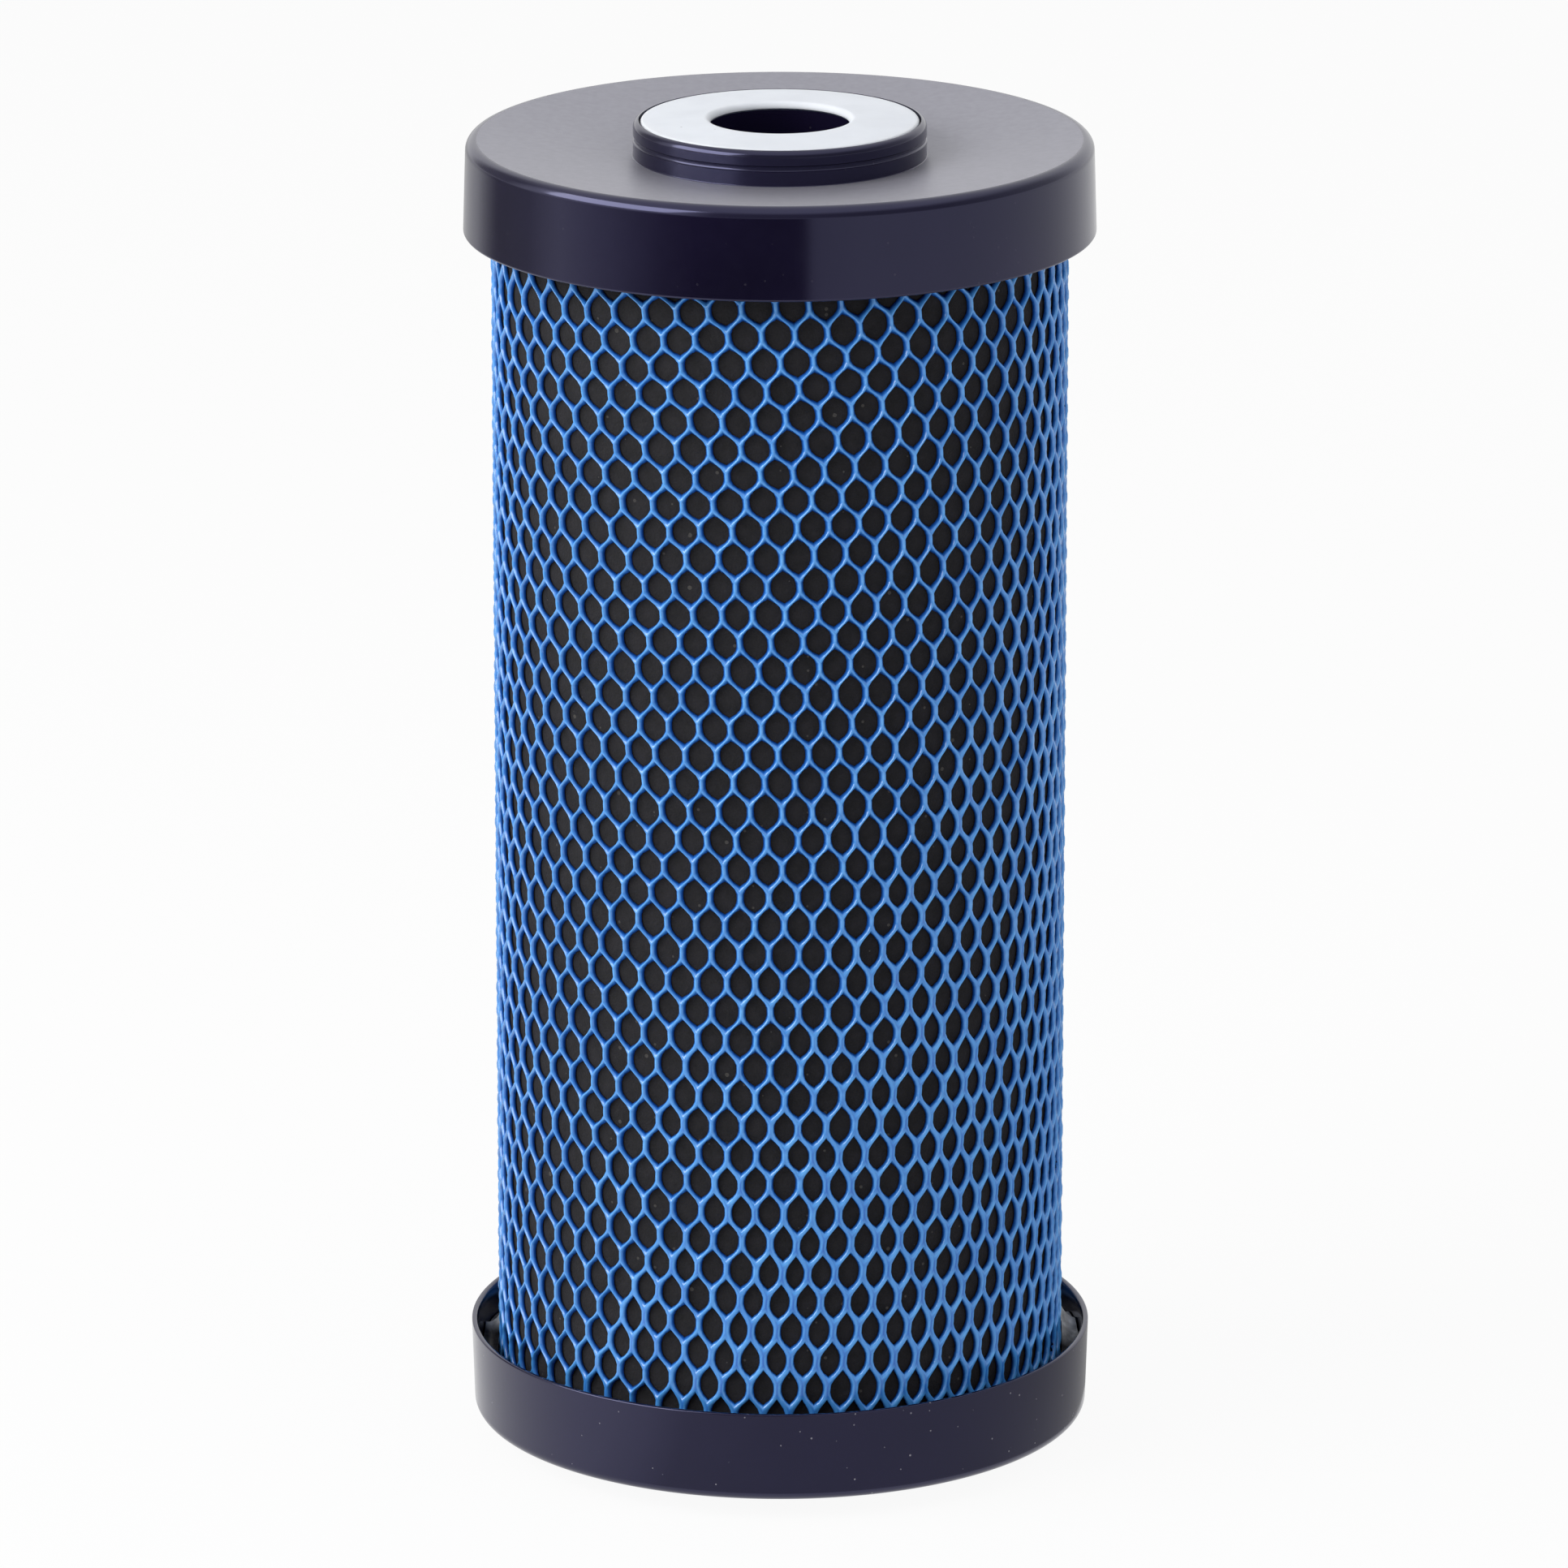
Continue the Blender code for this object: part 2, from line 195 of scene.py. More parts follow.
class CapSettings(PropertyGroup):
    """Sizes and colours of the two moulded caps."""

    rim_radius: length("Rim radius", "Outside of the open rim", CAP_HIGH.x)
    skirt_height: length("Skirt height", "From the outer edge to the rim", 0.0168)
    face_dish: length("Face dish", "Rise of the face from the boss to the edge", 0.0031)
    boss_height: length("Boss height", "Boss above its foot", 0.0064)
    boss_radius: length("Boss radius", "Outside of the boss", 0.0265)
    wall: length("Wall", "Thickness of the skirt", 0.0014)
    face_thickness: length("Face thickness", "Thickness of the closed end", 0.002)
    draft: angle("Draft", "Lean of the skirt", 1.75)
    edge_radius: length("Edge radius", "Rounding between face and skirt", 0.002)
    rim_round: length("Rim rounding", "Outer rounding of the open rim", 0.0003)
    rim_thinning: length("Rim thinning", "Loss of the wall inside the open rim", 0.00075)
    rim_bevel: length("Rim bevel", "Height over which the wall thins to the rim", 0.0025)
    boss_rim: length("Boss rim", "Width of the rim round the gasket", 0.00115)
    shoulder_drop: length("Shoulder drop", "Height of the rounded shoulder", 0.0013)
    groove_height: length("Groove height", "Parting groove above the boss's foot", 0.0032)
    groove_width: length("Groove width", "Width of the parting groove", 0.0011)
    groove_depth: length("Groove depth", "Depth of the parting groove", 0.00034)
    base_fillet: length("Base fillet", "Rounding at the foot of the boss", 0.00015)
    seat_depth: length("Seat depth", "Gasket seat below the boss rim", 0.0019)
    seat_thickness: length("Seat thickness", "Floor under the gasket", 0.0016)
    boss_wall: length("Boss wall", "Wall round the pocket in the boss", 0.0018)
    neck_bore: length("Neck bore", "Radius of the through hole", 0.0128)
    neck_wall: length("Neck wall", "Wall of the centring neck", 0.0015)
    neck_reach: length("Neck reach", "End of the neck below the boss's foot", 0.014)
    collar_height: length("Collar height", "Neck standing up inside the gasket", 0.0008)
    collar_wall: length("Collar wall", "Wall of the neck inside the gasket", 0.0008)
    plastic: colour("Plastic", "Dark indigo of the moulding", (0.0060, 0.0044, 0.0160))
    sheen: colour("Sheen", "Tint of the gloss", (0.60, 0.61, 1.0))
    # Painted sheen: the face's grey is partly its own satin grey and partly stands in for the bright sheen it
    # shows at a low angle
    satin_grey_and_painted_sheen: colour("Haze", "Grey bloom of the satin face", (0.214, 0.211, 0.241))
    dust: colour("Dust", "Pale specks on the moulding", (0.30, 0.29, 0.31))


class GasketSettings(PropertyGroup):
    """Sizes and colour of the two flat rings."""

    radius: length("Radius", "Outside of the ring", GASKET_HIGH.x - FIT_GAP)
    hole: length("Hole radius", "Inside of the ring", 0.0126)
    thickness: length("Thickness", "Height of the ring", GASKET_HIGH.z - GASKET_LOW.z)
    inner_round: length("Hole rounding", "Rounding at the hole", 0.0010)
    outer_round: length("Rim rounding", "Rounding at the rim", 0.0005)
    crown: length("Crown", "Fall of the top from the hole to the rim", 0.0003)
    lip: length("Lip", "Height of the lip over the cap's collar", 0.0012)
    recess: length("Recess", "Depth of the step under the lip", 0.0012)
    rubber: colour("Rubber", "White of the elastomer", (0.785, 0.82, 0.885))


class NetSettings(PropertyGroup):
    """Sizes, layout and colour of the extruded net."""

    columns: IntProperty(name="Columns", description="Cells in one row round the net", default=60, min=12)
    rows: IntProperty(name="Rows", description="Rows of cells along the net", default=43, min=4)
    middle_row: IntProperty(name="Middle row", description="Row at mid length, from the top", default=21)
    row_pitch: length("Row pitch", "Height of a row", 0.0052937)
    bond_length: length("Bond length", "Length of the bond between two strands", 0.0020)
    bond_width: length("Bond width", "Width of a bond", 0.00130)
    web: length("Web", "Web between two strands, from the bond's end to the hole", 0.00124)
    hole_power: number("Hole power", "Fullness of an even hole's sides", 2.9)
    hole_thinning: number("Hole thinning", "Loss of that in a narrow cell", 0.8)
    thickness: length("Thickness", "Height of a strand off the wrap", 0.00096)
    outer_radius: length("Outer radius", "Crest of the highest strands", NET_HIGH.x)
    lift: offset("Lift", "Height of the middle row off mid length", 0.001014)
    lean: angle("Lean", "Drift of a column over half the rows", 3.424)
    bow: angle("Bow", "Bend of a column over half the rows", -4.560)
    gather: angle("Gather", "Columns drawn to the front towards the foot", -6.314)
    spread: angle("Spread", "Columns drawn to the front in the middle row", 0.362)
    skew: angle("Skew", "Columns shifted at the front against the back", 4.856)
    start: angle("Start", "Place of the first column", -4.481)
    row_bow: offset("Row bow", "Uneven row pitch over half the rows", -0.002649)
    row_tilt: offset("Row tilt", "Rise of the middle row from front to right", 0.001397)
    row_twist: offset("Row twist", "Change of that rise over half the rows", -0.003643)
    row_sag: offset("Row sag", "Rise of the front of a row", 0.002107)
    wander: length("Wander", "Uneven lay of the strands", 0.00022)
    gathering: number("Gathering", "Growth of a bond in a narrow cell", 0.18)
    drop: number("Drop", "Rounder foot of a hole in a narrow cell", 0.24)
    webbing: number("Webbing", "Growth of a web in a narrow cell", 0.18)
    narrowing: length("Narrowing", "Loss of a cell's width at which its bonds are flat", 0.00045)
    crest_pale: colour("Crest, pale", "Blue of the drawn crests", (0.108, 0.418, 0.900))
    crest_full: colour("Crest, full", "Fuller blue of the crests", (0.071, 0.322, 0.790))
    # Painted shade: the sides of a strand are the same plastic as its crest, and this deep blue stands in for
    # the shade they lie in
    painted_flank_shade: colour("Flank", "Deep blue of the sides of a strand", (0.0035, 0.098, 0.540))


class WrapSettings(PropertyGroup):
    """Sizes and colours of the two fleece wraps and the block."""

    outer_radius: length("Outer radius", "Face of the outer wrap", 0.05108)
    seam_gap: length("Seam gap", "Gap at the butted edges", 0.0004)
    relief: length("Relief", "Uneven surface of the fleece", 0.00006)
    outer_cloth: colour("Outer fleece", "Near black fleece", (0.0074, 0.0065, 0.0082))
    outer_lint: colour("Lint", "Pale fibres in the black fleece", (0.050, 0.046, 0.042))
    inner_cloth: colour("Inner fleece", "White fleece in the bore", (0.62, 0.62, 0.60))
    carbon: colour("Carbon", "Pressed carbon", (0.012, 0.011, 0.011))


class AdhesiveSettings(PropertyGroup):
    """Sizes and colours of the hot-melt adhesive."""

    lip_depth: length("Lip depth", "Adhesive surface below the boss's foot", 0.0077)
    dish: length("Dish", "Hollow of the surface between net and skirt", 0.0008)
    unevenness: length("Unevenness", "Waves of the poured surface", 0.0006)
    smear_height: length("Smear height", "Adhesive drawn up between net and skirt", 0.0052)
    smear_angle: angle("Smear angle", "Place of the large smear", 98.0)
    smear_width: angle("Smear width", "Half width of the large smear", 8.5)
    string_angle: angle("String angle", "Place of the thin string", -99.0)
    string_width: angle("String width", "Half width of the thin string", 1.4)
    melt: colour("Adhesive", "Adhesive over the dark cap", (0.022, 0.021, 0.024))
    # Painted highlight: the drawn adhesive is partly whitened glue, and its near white also stands in for the
    # glints of the smear and string
    pale_melt_and_glint: colour("Adhesive, pale", "Drawn, whitened adhesive", (0.86, 0.88, 0.92))


class StageSettings(PropertyGroup):
    """Camera, light and floor."""

    camera_distance: length("Camera distance", "Level distance from the axis", 1.9431)
    camera_height: length("Camera height", "Camera above mid length", 0.55817)
    camera_aside: length("Camera aside", "Camera to the right of the axis", 0.00074)
    camera_dip: angle("Camera dip", "Camera's view below level", 16.056)
    camera_lens: number("Lens", "Focal length on a 36 mm sensor", 253.55)
    key_power: number("Key power", "Watts of the front left soft box", 13.5)
    key_angle: angle("Key angle", "Soft box round the axis", -66.0)
    key_rise: angle("Key rise", "Soft box above level", 32.0)
    key_distance: length("Key distance", "Soft box from the middle", 1.25)
    key_width: length("Key width", "Level side of the soft box", 1.2)
    key_height: length("Key height", "Upright side of the soft box", 0.8)
    side_power: number("Side power", "Watts of the right soft box", 2.4)
    side_angle: angle("Side angle", "Right soft box round the axis", 58.0)
    fill_strength: number("Fill", "Even light from all round", 0.53, min=0.0)
    floor_glow: number("Floor glow", "White that shadows leave", 0.93)
    floor_mirrored: number("Floor mirrored", "The same in reflections", 0.90)
    floor_colour: colour("Floor", "Pale floor", (0.80, 0.80, 0.80))


def arc(centre, radii, start, end, steps):
    """Points (c + a cos t, d + b sin t) of an elliptic arc from start to end, in degrees."""
    turn = np.radians(np.linspace(start, end, steps + 1))
    return np.stack([centre[0] + radii[0] * np.cos(turn), centre[1] + radii[1] * np.sin(turn)], axis=1)


def hold_straights(outline, margin):
    """The closed outline with two more points on each long straight, a margin from its ends."""
    following = np.roll(outline, -1, axis=0)
    run = np.linalg.norm(following - outline, axis=1)
    share = np.where(run > 4.0 * margin, margin / np.maximum(run, margin), 0.0)[:, None]
    near = outline + (following - outline) * share
    far = following - (following - outline) * share
    held = np.stack([outline, near, far], axis=1).reshape(-1, 2)
    keep = np.stack([np.ones(len(run), bool), share[:, 0] > 0.0, share[:, 0] > 0.0], axis=1).ravel()
    return held[keep]


def grid_quads(rows, columns, close_rows, close_columns):
    """Index quads of a grid of points, closed onto itself along either side."""
    index = np.arange(rows * columns).reshape(rows, columns)
    if close_rows:
        index = np.vstack([index, index[:1]])
    if close_columns:
        index = np.hstack([index, index[:, :1]])
    corners = [index[:-1, :-1], index[:-1, 1:], index[1:, 1:], index[1:, :-1]]
    return np.stack(corners, axis=-1).reshape(-1, 4)


def round_axis(turn, radius, height):
    """Points at an angle from the front, a radius and a height: (r sin t, -r cos t, h)."""
    turn, radius, height = np.broadcast_arrays(turn, radius, height)
    return np.stack([radius * np.sin(turn), -radius * np.cos(turn), height], axis=-1)


def turned(outline, steps):
    """Carry a closed outline of (radius, height), listed down its outer side, once round the axis."""
    turn = np.linspace(0.0, FULL_TURN, steps, endpoint=False)[:, None]
    points = round_axis(turn, outline[None, :, 0], outline[None, :, 1])
    return points.reshape(-1, 3), grid_quads(steps, len(outline), True, True)


def waves(seed, count, turn, height, round_cycles, height_cycles):
    """Sum of sine waves round the axis and along it, with seeded counts and phases, near -1 to 1."""
    draw = np.random.default_rng(seed)
    around = draw.integers(-round_cycles, round_cycles + 1, count)
    along = draw.uniform(-height_cycles, height_cycles, count) * FULL_TURN
    phase = draw.uniform(0.0, FULL_TURN, count)
    total = np.sin(turn[..., None] * around + height[..., None] * along + phase).sum(axis=-1)
    return total / math.sqrt(count)


def smooth_step(low, high, value):
    """3 s s - 2 s s s, with s the place of the value between low and high, held to 0 and 1."""
    share = np.clip((value - low) / (high - low), 0.0, 1.0)
    return share * share * (3.0 - 2.0 * share)


def surface_object(name, points, quads, sharp_angle=None, normals=None):
    """A smooth shaded mesh object at the origin from arrays of points and quads."""
    mesh = bpy.data.meshes.new(name)
    mesh.vertices.add(len(points))
    mesh.vertices.foreach_set("co", np.ascontiguousarray(points, np.float32).ravel())
    mesh.loops.add(quads.size)
    mesh.loops.foreach_set("vertex_index", np.ascontiguousarray(quads, np.int32).ravel())
    mesh.polygons.add(len(quads))
    mesh.polygons.foreach_set("loop_start", np.arange(0, quads.size, 4, dtype=np.int32))
    mesh.update(calc_edges=True)
    mesh.shade_smooth()
    if sharp_angle is not None:
        mesh.set_sharp_from_angle(angle=sharp_angle)
    if normals is not None:
        mesh.normals_split_custom_set_from_vertices(normals)
    obj = bpy.data.objects.new(name, mesh)
    bpy.context.scene.collection.objects.link(obj)
    return obj


def dress(obj, material, slot, body, *nodes):
    """Give a piece its finish, the body it rides on and the nodes it stands for; the slot is not used."""
    obj.data.materials.append(material)
    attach(obj, body)
    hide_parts(*nodes)
    return obj


def mark_points(obj, name, values):
    """Keep one number for each vertex as an attribute that a finish can read."""
    attribute = obj.data.attributes.new(name, "FLOAT", "POINT")
    attribute.data.foreach_set("value", np.ascontiguousarray(values, np.float32))


def skirt_radius(cap, height):
    """Outside of the drafted skirt at a height from the boss's foot, which is at 0."""
    rim_z = cap.face_dish - cap.skirt_height
    return cap.rim_radius - (height - rim_z) * math.tan(cap.draft)


def cap_outline(cap):
    """Closed outline of the cap, boss's foot at 0: boss, dished face, skirt, inside, pocket and neck.

    The second array is 1 on the face and 0 elsewhere.
    """
    rim_z = cap.face_dish - cap.skirt_height
    seat_z = cap.boss_height - cap.seat_depth
    seat_radius = cap.boss_radius - cap.boss_rim
    pocket_z = seat_z - cap.seat_thickness
    pocket_radius = cap.boss_radius - cap.boss_wall
    neck_radius = cap.neck_bore + cap.neck_wall
    inner_rim = cap.rim_radius - cap.wall
    shoulder_z = cap.boss_height - cap.shoulder_drop
    edge_z = cap.face_dish - cap.edge_radius
    edge_centre = skirt_radius(cap, edge_z) - cap.edge_radius
    slope = math.atan2(cap.face_dish, edge_centre - cap.boss_radius)
    half_groove = cap.groove_width / 2.0
    fillet = cap.base_fillet
    round_off = cap.rim_round
    shoulder = arc((seat_radius, shoulder_z), (cap.boss_rim, cap.shoulder_drop), 84.0, 0.0, 10)
    lip = arc((cap.boss_radius, cap.groove_height), (cap.groove_depth, half_groove), 90.0, 270.0, 8)
    lean = math.degrees(slope)
    foot = arc((cap.boss_radius + fillet, fillet), (fillet, fillet), 180.0, 270.0 + lean, 5)
    edge = arc((edge_centre, edge_z), (cap.edge_radius, cap.edge_radius), 90.0 + lean, 0.0, 10)
    outer_rim = arc((cap.rim_radius - round_off, rim_z + round_off), (round_off, round_off), 0.0, -90.0, 4)
    bevel = (cap.rim_thinning, cap.rim_bevel)
    ceiling = cap.face_dish - cap.face_thickness
    inner_lip = arc((inner_rim + cap.rim_thinning, rim_z + cap.rim_bevel), bevel, -90.0, -180.0, 8)
    inside = [
        (skirt_radius(cap, ceiling) - cap.wall, ceiling),
        (pocket_radius, -cap.face_thickness),
        (pocket_radius, pocket_z),
        (neck_radius, pocket_z),
        (neck_radius, -cap.neck_reach),
        (cap.neck_bore, -cap.neck_reach),
        (cap.neck_bore, seat_z + cap.collar_height),
        (cap.neck_bore + cap.collar_wall, seat_z + cap.collar_height),
        (cap.neck_bore + cap.collar_wall, seat_z),
        (seat_radius, seat_z),
    ]
    parts = [shoulder, lip, foot, edge, outer_rim, inner_lip, np.array(inside)]
    outline = hold_straights(np.vstack(parts), CAP_MARGIN)
    radius, height = outline.T
    on_cone = height > (radius - cap.boss_radius) * math.tan(slope) - FACE_DEPTH
    on_face = on_cone & (radius > cap.boss_radius + fillet) & (radius < edge_centre)
    return outline, on_face.astype(float)


def gasket_outline(gasket):
    """Closed outline of the ring, underside at 0: rounded hole, sloping top, round rim, stepped foot."""
    inner = gasket.inner_round
    outer = gasket.outer_round
    rim_top = gasket.thickness - gasket.crown
    step_z = gasket.thickness - gasket.lip
    step_radius = gasket.hole + gasket.recess
    hole = arc((gasket.hole + inner, gasket.thickness - inner), (inner, inner), 180.0, 90.0, 10)
    rim = arc((gasket.radius - outer, rim_top - outer), (outer, outer), 88.0, 0.0, 6)
    underside = [(gasket.radius, 0.0), (step_radius, 0.0), (step_radius, step_z), (gasket.hole, step_z)]
    return hold_straights(np.vstack([hole, rim, np.array(underside)]), GASKET_MARGIN)


def turned_over(outline, mirror_z):
    """The outline mirrored in a level plane, listed backwards so that its faces still point out."""
    flipped = outline[::-1].copy()
    flipped[:, 1] = 2.0 * mirror_z - flipped[:, 1]
    return flipped


def net_lattice(net, column, row):
    """Angle and height of a point of the net's lattice, at a column and row that need not be whole.

    With a the column's even share of the turn and p the row from -1 at the top to 1 at the foot, the angle
    is a + start + lean p + bow p p + (spread + gather p) sin a + skew cos a. The height falls evenly with
    p, plus row_bow p p, and each row tilts with the sine and cosine of the angle. The tilt fades at the
    ends, where a hyperbolic tangent draws the last rows together inside the adhesive.
    """
    share = FULL_TURN * column / net.columns
    place = (row - net.middle_row) / NET_HALF_ROWS
    turn = share + net.start + net.lean * place + net.bow * place**2
    turn = turn + (net.spread + net.gather * place) * np.sin(share) + net.skew * np.cos(share)
    level = 1.0 - smooth_step(*NET_TOP_FADE, -place) - smooth_step(*NET_FOOT_FADE, place)
    height = MIDDLE_Z + net.lift - net.row_pitch * NET_HALF_ROWS * place + net.row_bow * place**2
    height = height + level * (net.row_tilt + net.row_twist * place) * np.sin(turn)
    height = height + level * net.row_sag * np.cos(turn)
    lay = {"count": 14, "turn": share, "height": place, "round_cycles": 17, "height_cycles": 5.0}
    turn = turn + level * net.wander / net.outer_radius * waves(seed=11, **lay)
    height = height + level * net.wander * waves(seed=12, **lay)
    rise = height - MIDDLE_Z
    past = np.maximum(np.abs(rise) - NET_FREE_HALF, 0.0)
    rise = np.sign(rise) * (np.abs(rise) - past + NET_END_RUN * np.tanh(past / NET_END_RUN))
    return turn, MIDDLE_Z + rise


def net_kinds():
    """What each of the 18 places round a cell is.

    The four numbers are the height of crest and shoulder, the depth of the crest's painted shade, which is
    darker on the under strands and at the forks where they lie in shade, and how far the crest sinks to a
    web in a narrow cell.
    """
    kinds = {
        "bond": (0.94, 0.92, 0.02, 1.0),
        "bond_head": (0.84, 0.96, 0.20, 0.8),
        "bond_foot": (0.86, 0.95, 0.20, 0.8),
        "over": (1.04, 0.88, 0.0, 0.0),
        "under": (0.82, 0.88, 0.26, 0.0),
        "crotch": (0.84, 0.97, 0.20, 0.6),
        "peak": (0.86, 0.96, 0.20, 0.6),
    }
    order = ["bond_head", "bond", "bond", "bond_foot", "over", "over", "crotch", "under", "under"]
    order += ["bond_foot", "bond", "bond", "bond_head", "over", "over", "peak", "under", "under"]
    return np.array([kinds[name] for name in order])


def cell_outline(net):
    """The 18 places round a cell, as columns and rows from its middle, and the row of its tip.

    Six corners are joined by bonds and strands. A strand runs across from bond to bond as a line with
    some half cosine wave.
    """
    half_bond = net.bond_length / net.row_pitch / 2.0
    tip = 1.0 - half_bond
    corners = [(0.5, -half_bond), (0.5, half_bond), (0.0, tip)]
    corners += [(-0.5, half_bond), (-0.5, -half_bond), (0.0, -tip)]
    corners = np.array(corners)
    run = np.arange(3) / 3.0
    swing = np.stack([0.5 * run + 0.25 * (1.0 - np.cos(math.pi * run)), run], axis=-1)[None]
    shared = corners[:, None] * (1.0 - swing) + np.roll(corners, -1, axis=0)[:, None] * swing
    return shared.reshape(-1, 2), tip


def net_cells(net):
    """Points and painted shade of every cell of the net, by row, column, place and ring, and marks of its
    places.

    A cell is a six-sided frame of bonds and strands round a hole. Rings run from the crest that it shares
    with its neighbours, over the round side to the edge of the hole, and back under to the shared line.
    The hole is a lens: its half width falls from the middle to the tips with 1 less a power of the
    height's share. In a narrow cell the power is lower, the hole's foot is rounder than its head, and the
    bonds are flat webs with a sunk middle line. The painted shade is near 0 at a crest and 1 at the edge of
    the hole: the sides of a strand, the sunk middle, the under strands and the forks are painted deeper blue
    for the shade they lie in. Places that share a point have the same mark.
    """
    shared, tip = cell_outline(net)
    crest, shoulder, depth, sinking = net_kinds().T
    row = np.arange(net.rows)[:, None] + 0.0 * np.arange(net.columns)[None, :]
    column = np.arange(net.columns)[None, :] - net.columns / 4.0 + 0.5 * ((row + 1.0) % 2)
    base_radius = net.outer_radius - crest.max() * net.thickness
    left, upper = net_lattice(net, np.stack([column - 0.5, column]), np.stack([row, row - 0.5]))
    right, lower = net_lattice(net, np.stack([column + 0.5, column]), np.stack([row, row + 0.5]))
    cell_width = ((right - left)[0] * base_radius)[..., None]
    cell_height = (upper - lower)[1][..., None]

    spare = np.maximum(FULL_TURN * base_radius / net.columns - cell_width, 0.0)
    flatness = np.minimum(spare / net.narrowing, 1.0)
    bond = np.minimum((net.bond_width / 2.0 + net.gathering * spare) / cell_width, NET_MOST_INSET / 2.0)
    web = np.minimum((net.web + net.webbing * spare) / cell_height, NET_MOST_INSET * tip)
    power = np.maximum(net.hole_power - net.hole_thinning * spare / MM, 2.0)
    power = power * (1.0 + net.drop * flatness * np.sign(shared[:, 1]))
    reach = np.abs(shared[:, 1]) / tip
    hole_across = np.sign(shared[:, 0]) * (0.5 - bond) * (1.0 - reach**power)
    hole_along = np.sign(shared[:, 1]) * reach * (tip - web)

    share = np.array(RING_SHARES) + flatness[..., None] * np.array(RING_SPREAD)
    across = shared[:, 0, None] * (1.0 - share) + hole_across[..., None] * share
    along = shared[:, 1, None] * (1.0 - share) + hole_along[..., None] * share
    turn, height = net_lattice(net, column[..., None, None] + across, row[..., None, None] + along)
    sunk = flatness * sinking
    lift = np.zeros_like(turn)
    lift[..., 0] = crest * (1.0 - CREST_SINK * sunk)
    lift[..., 1] = crest * shoulder * (1.0 + SHOULDER_SWELL * sunk)
    lift[..., 2] = crest * WALL_HEIGHT
    # Painted shade: the sunk middle of a flat web, the under strands, the forks and the wall are painted
    # deeper blue for the shade they lie in
    tone = np.ones_like(turn)
    tone[..., 0] = depth + SUNK_PAINTED_SHADE * sunk
    tone[..., 1] = np.maximum(depth, SHOULDER_PAINTED_SHADE)
    tone[..., 2] = WALL_PAINTED_SHADE - WALL_SHADE_FADE * flatness
    # Whole sixths of a column and thousandths of a row tell places apart
    column_mark = np.rint(6.0 * (column[..., None] + shared[:, 0])) % (6 * net.columns)
    row_mark = np.rint(1000.0 * (row[..., None] + shared[:, 1]))
    points = round_axis(turn, base_radius + net.thickness * lift, height)
    return points, tone, column_mark * 1.0e6 + row_mark


def weld_cells(points, tone, marks):
    """Join the cells along the lines they share, each kept as a crest and as a line under it.

    Gives the joined points, their painted shade, their numbers by row, column, place and ring, the shared
    line's number at each place, and how many cells meet there.
    """
    _, first, weld = np.unique(marks, return_index=True, return_inverse=True)
    weld = weld.reshape(marks.shape)
    welds = len(first)
    own = np.arange(marks.size * 3).reshape(*marks.shape, 3) + 2 * welds
    numbers = np.concatenate([weld[..., None], own, weld[..., None] + welds], axis=-1)
    joined = []
    for values in (points, tone[..., None]):
        flat = values.reshape(marks.size, len(RING_SHARES), -1)
        inner = flat[:, 1:4].reshape(marks.size * 3, -1)
        joined.append(np.concatenate([flat[first, 0], flat[first, 4], inner]))
    meeting = np.zeros(welds, int)
    meeting[weld] = np.where(np.arange(marks.shape[2]) % 3 == 0, 3, 2)
    return joined[0], joined[1].ravel(), numbers, weld, meeting


def ring_quads(numbers):
    """Quads between neighbouring places and rings of each cell."""
    after = np.roll(numbers, -1, axis=2)
    corners = [numbers[..., :-1], numbers[..., 1:], after[..., 1:], after[..., :-1]]
    return np.stack(corners, axis=-1).reshape(-1, 4)


def point_normals(points, quads):
    """Area weighted mean of the quads' normals at each point."""
    across = points[quads[:, 2]] - points[quads[:, 0]]
    along = points[quads[:, 3]] - points[quads[:, 1]]
    face = np.repeat(np.cross(across, along), 4, axis=0)
    total = np.stack([np.bincount(quads.ravel(), face[:, axis], len(points)) for axis in range(3)], axis=1)
    return total / np.maximum(np.linalg.norm(total, axis=1, keepdims=True), 1.0e-12)


def net_half(numbers, weld, meeting, columns):
    """The points used by the cells in some columns, and their quads, with the cut edges closed.

    Where a shared line has lost a neighbour, its lower point is the upper one, so that the strand's
    underside runs up to its crest and the half is a closed surface.
    """
    part = numbers[:, columns]
    uses = np.bincount(weld[:, columns].ravel(), minlength=len(meeting))
    cut = (uses < meeting)[weld[:, columns]]
    part[..., 4] = np.where(cut, part[..., 0], part[..., 4])
    used, quads = np.unique(ring_quads(part), return_inverse=True)
    return used, quads.reshape(-1, 4)


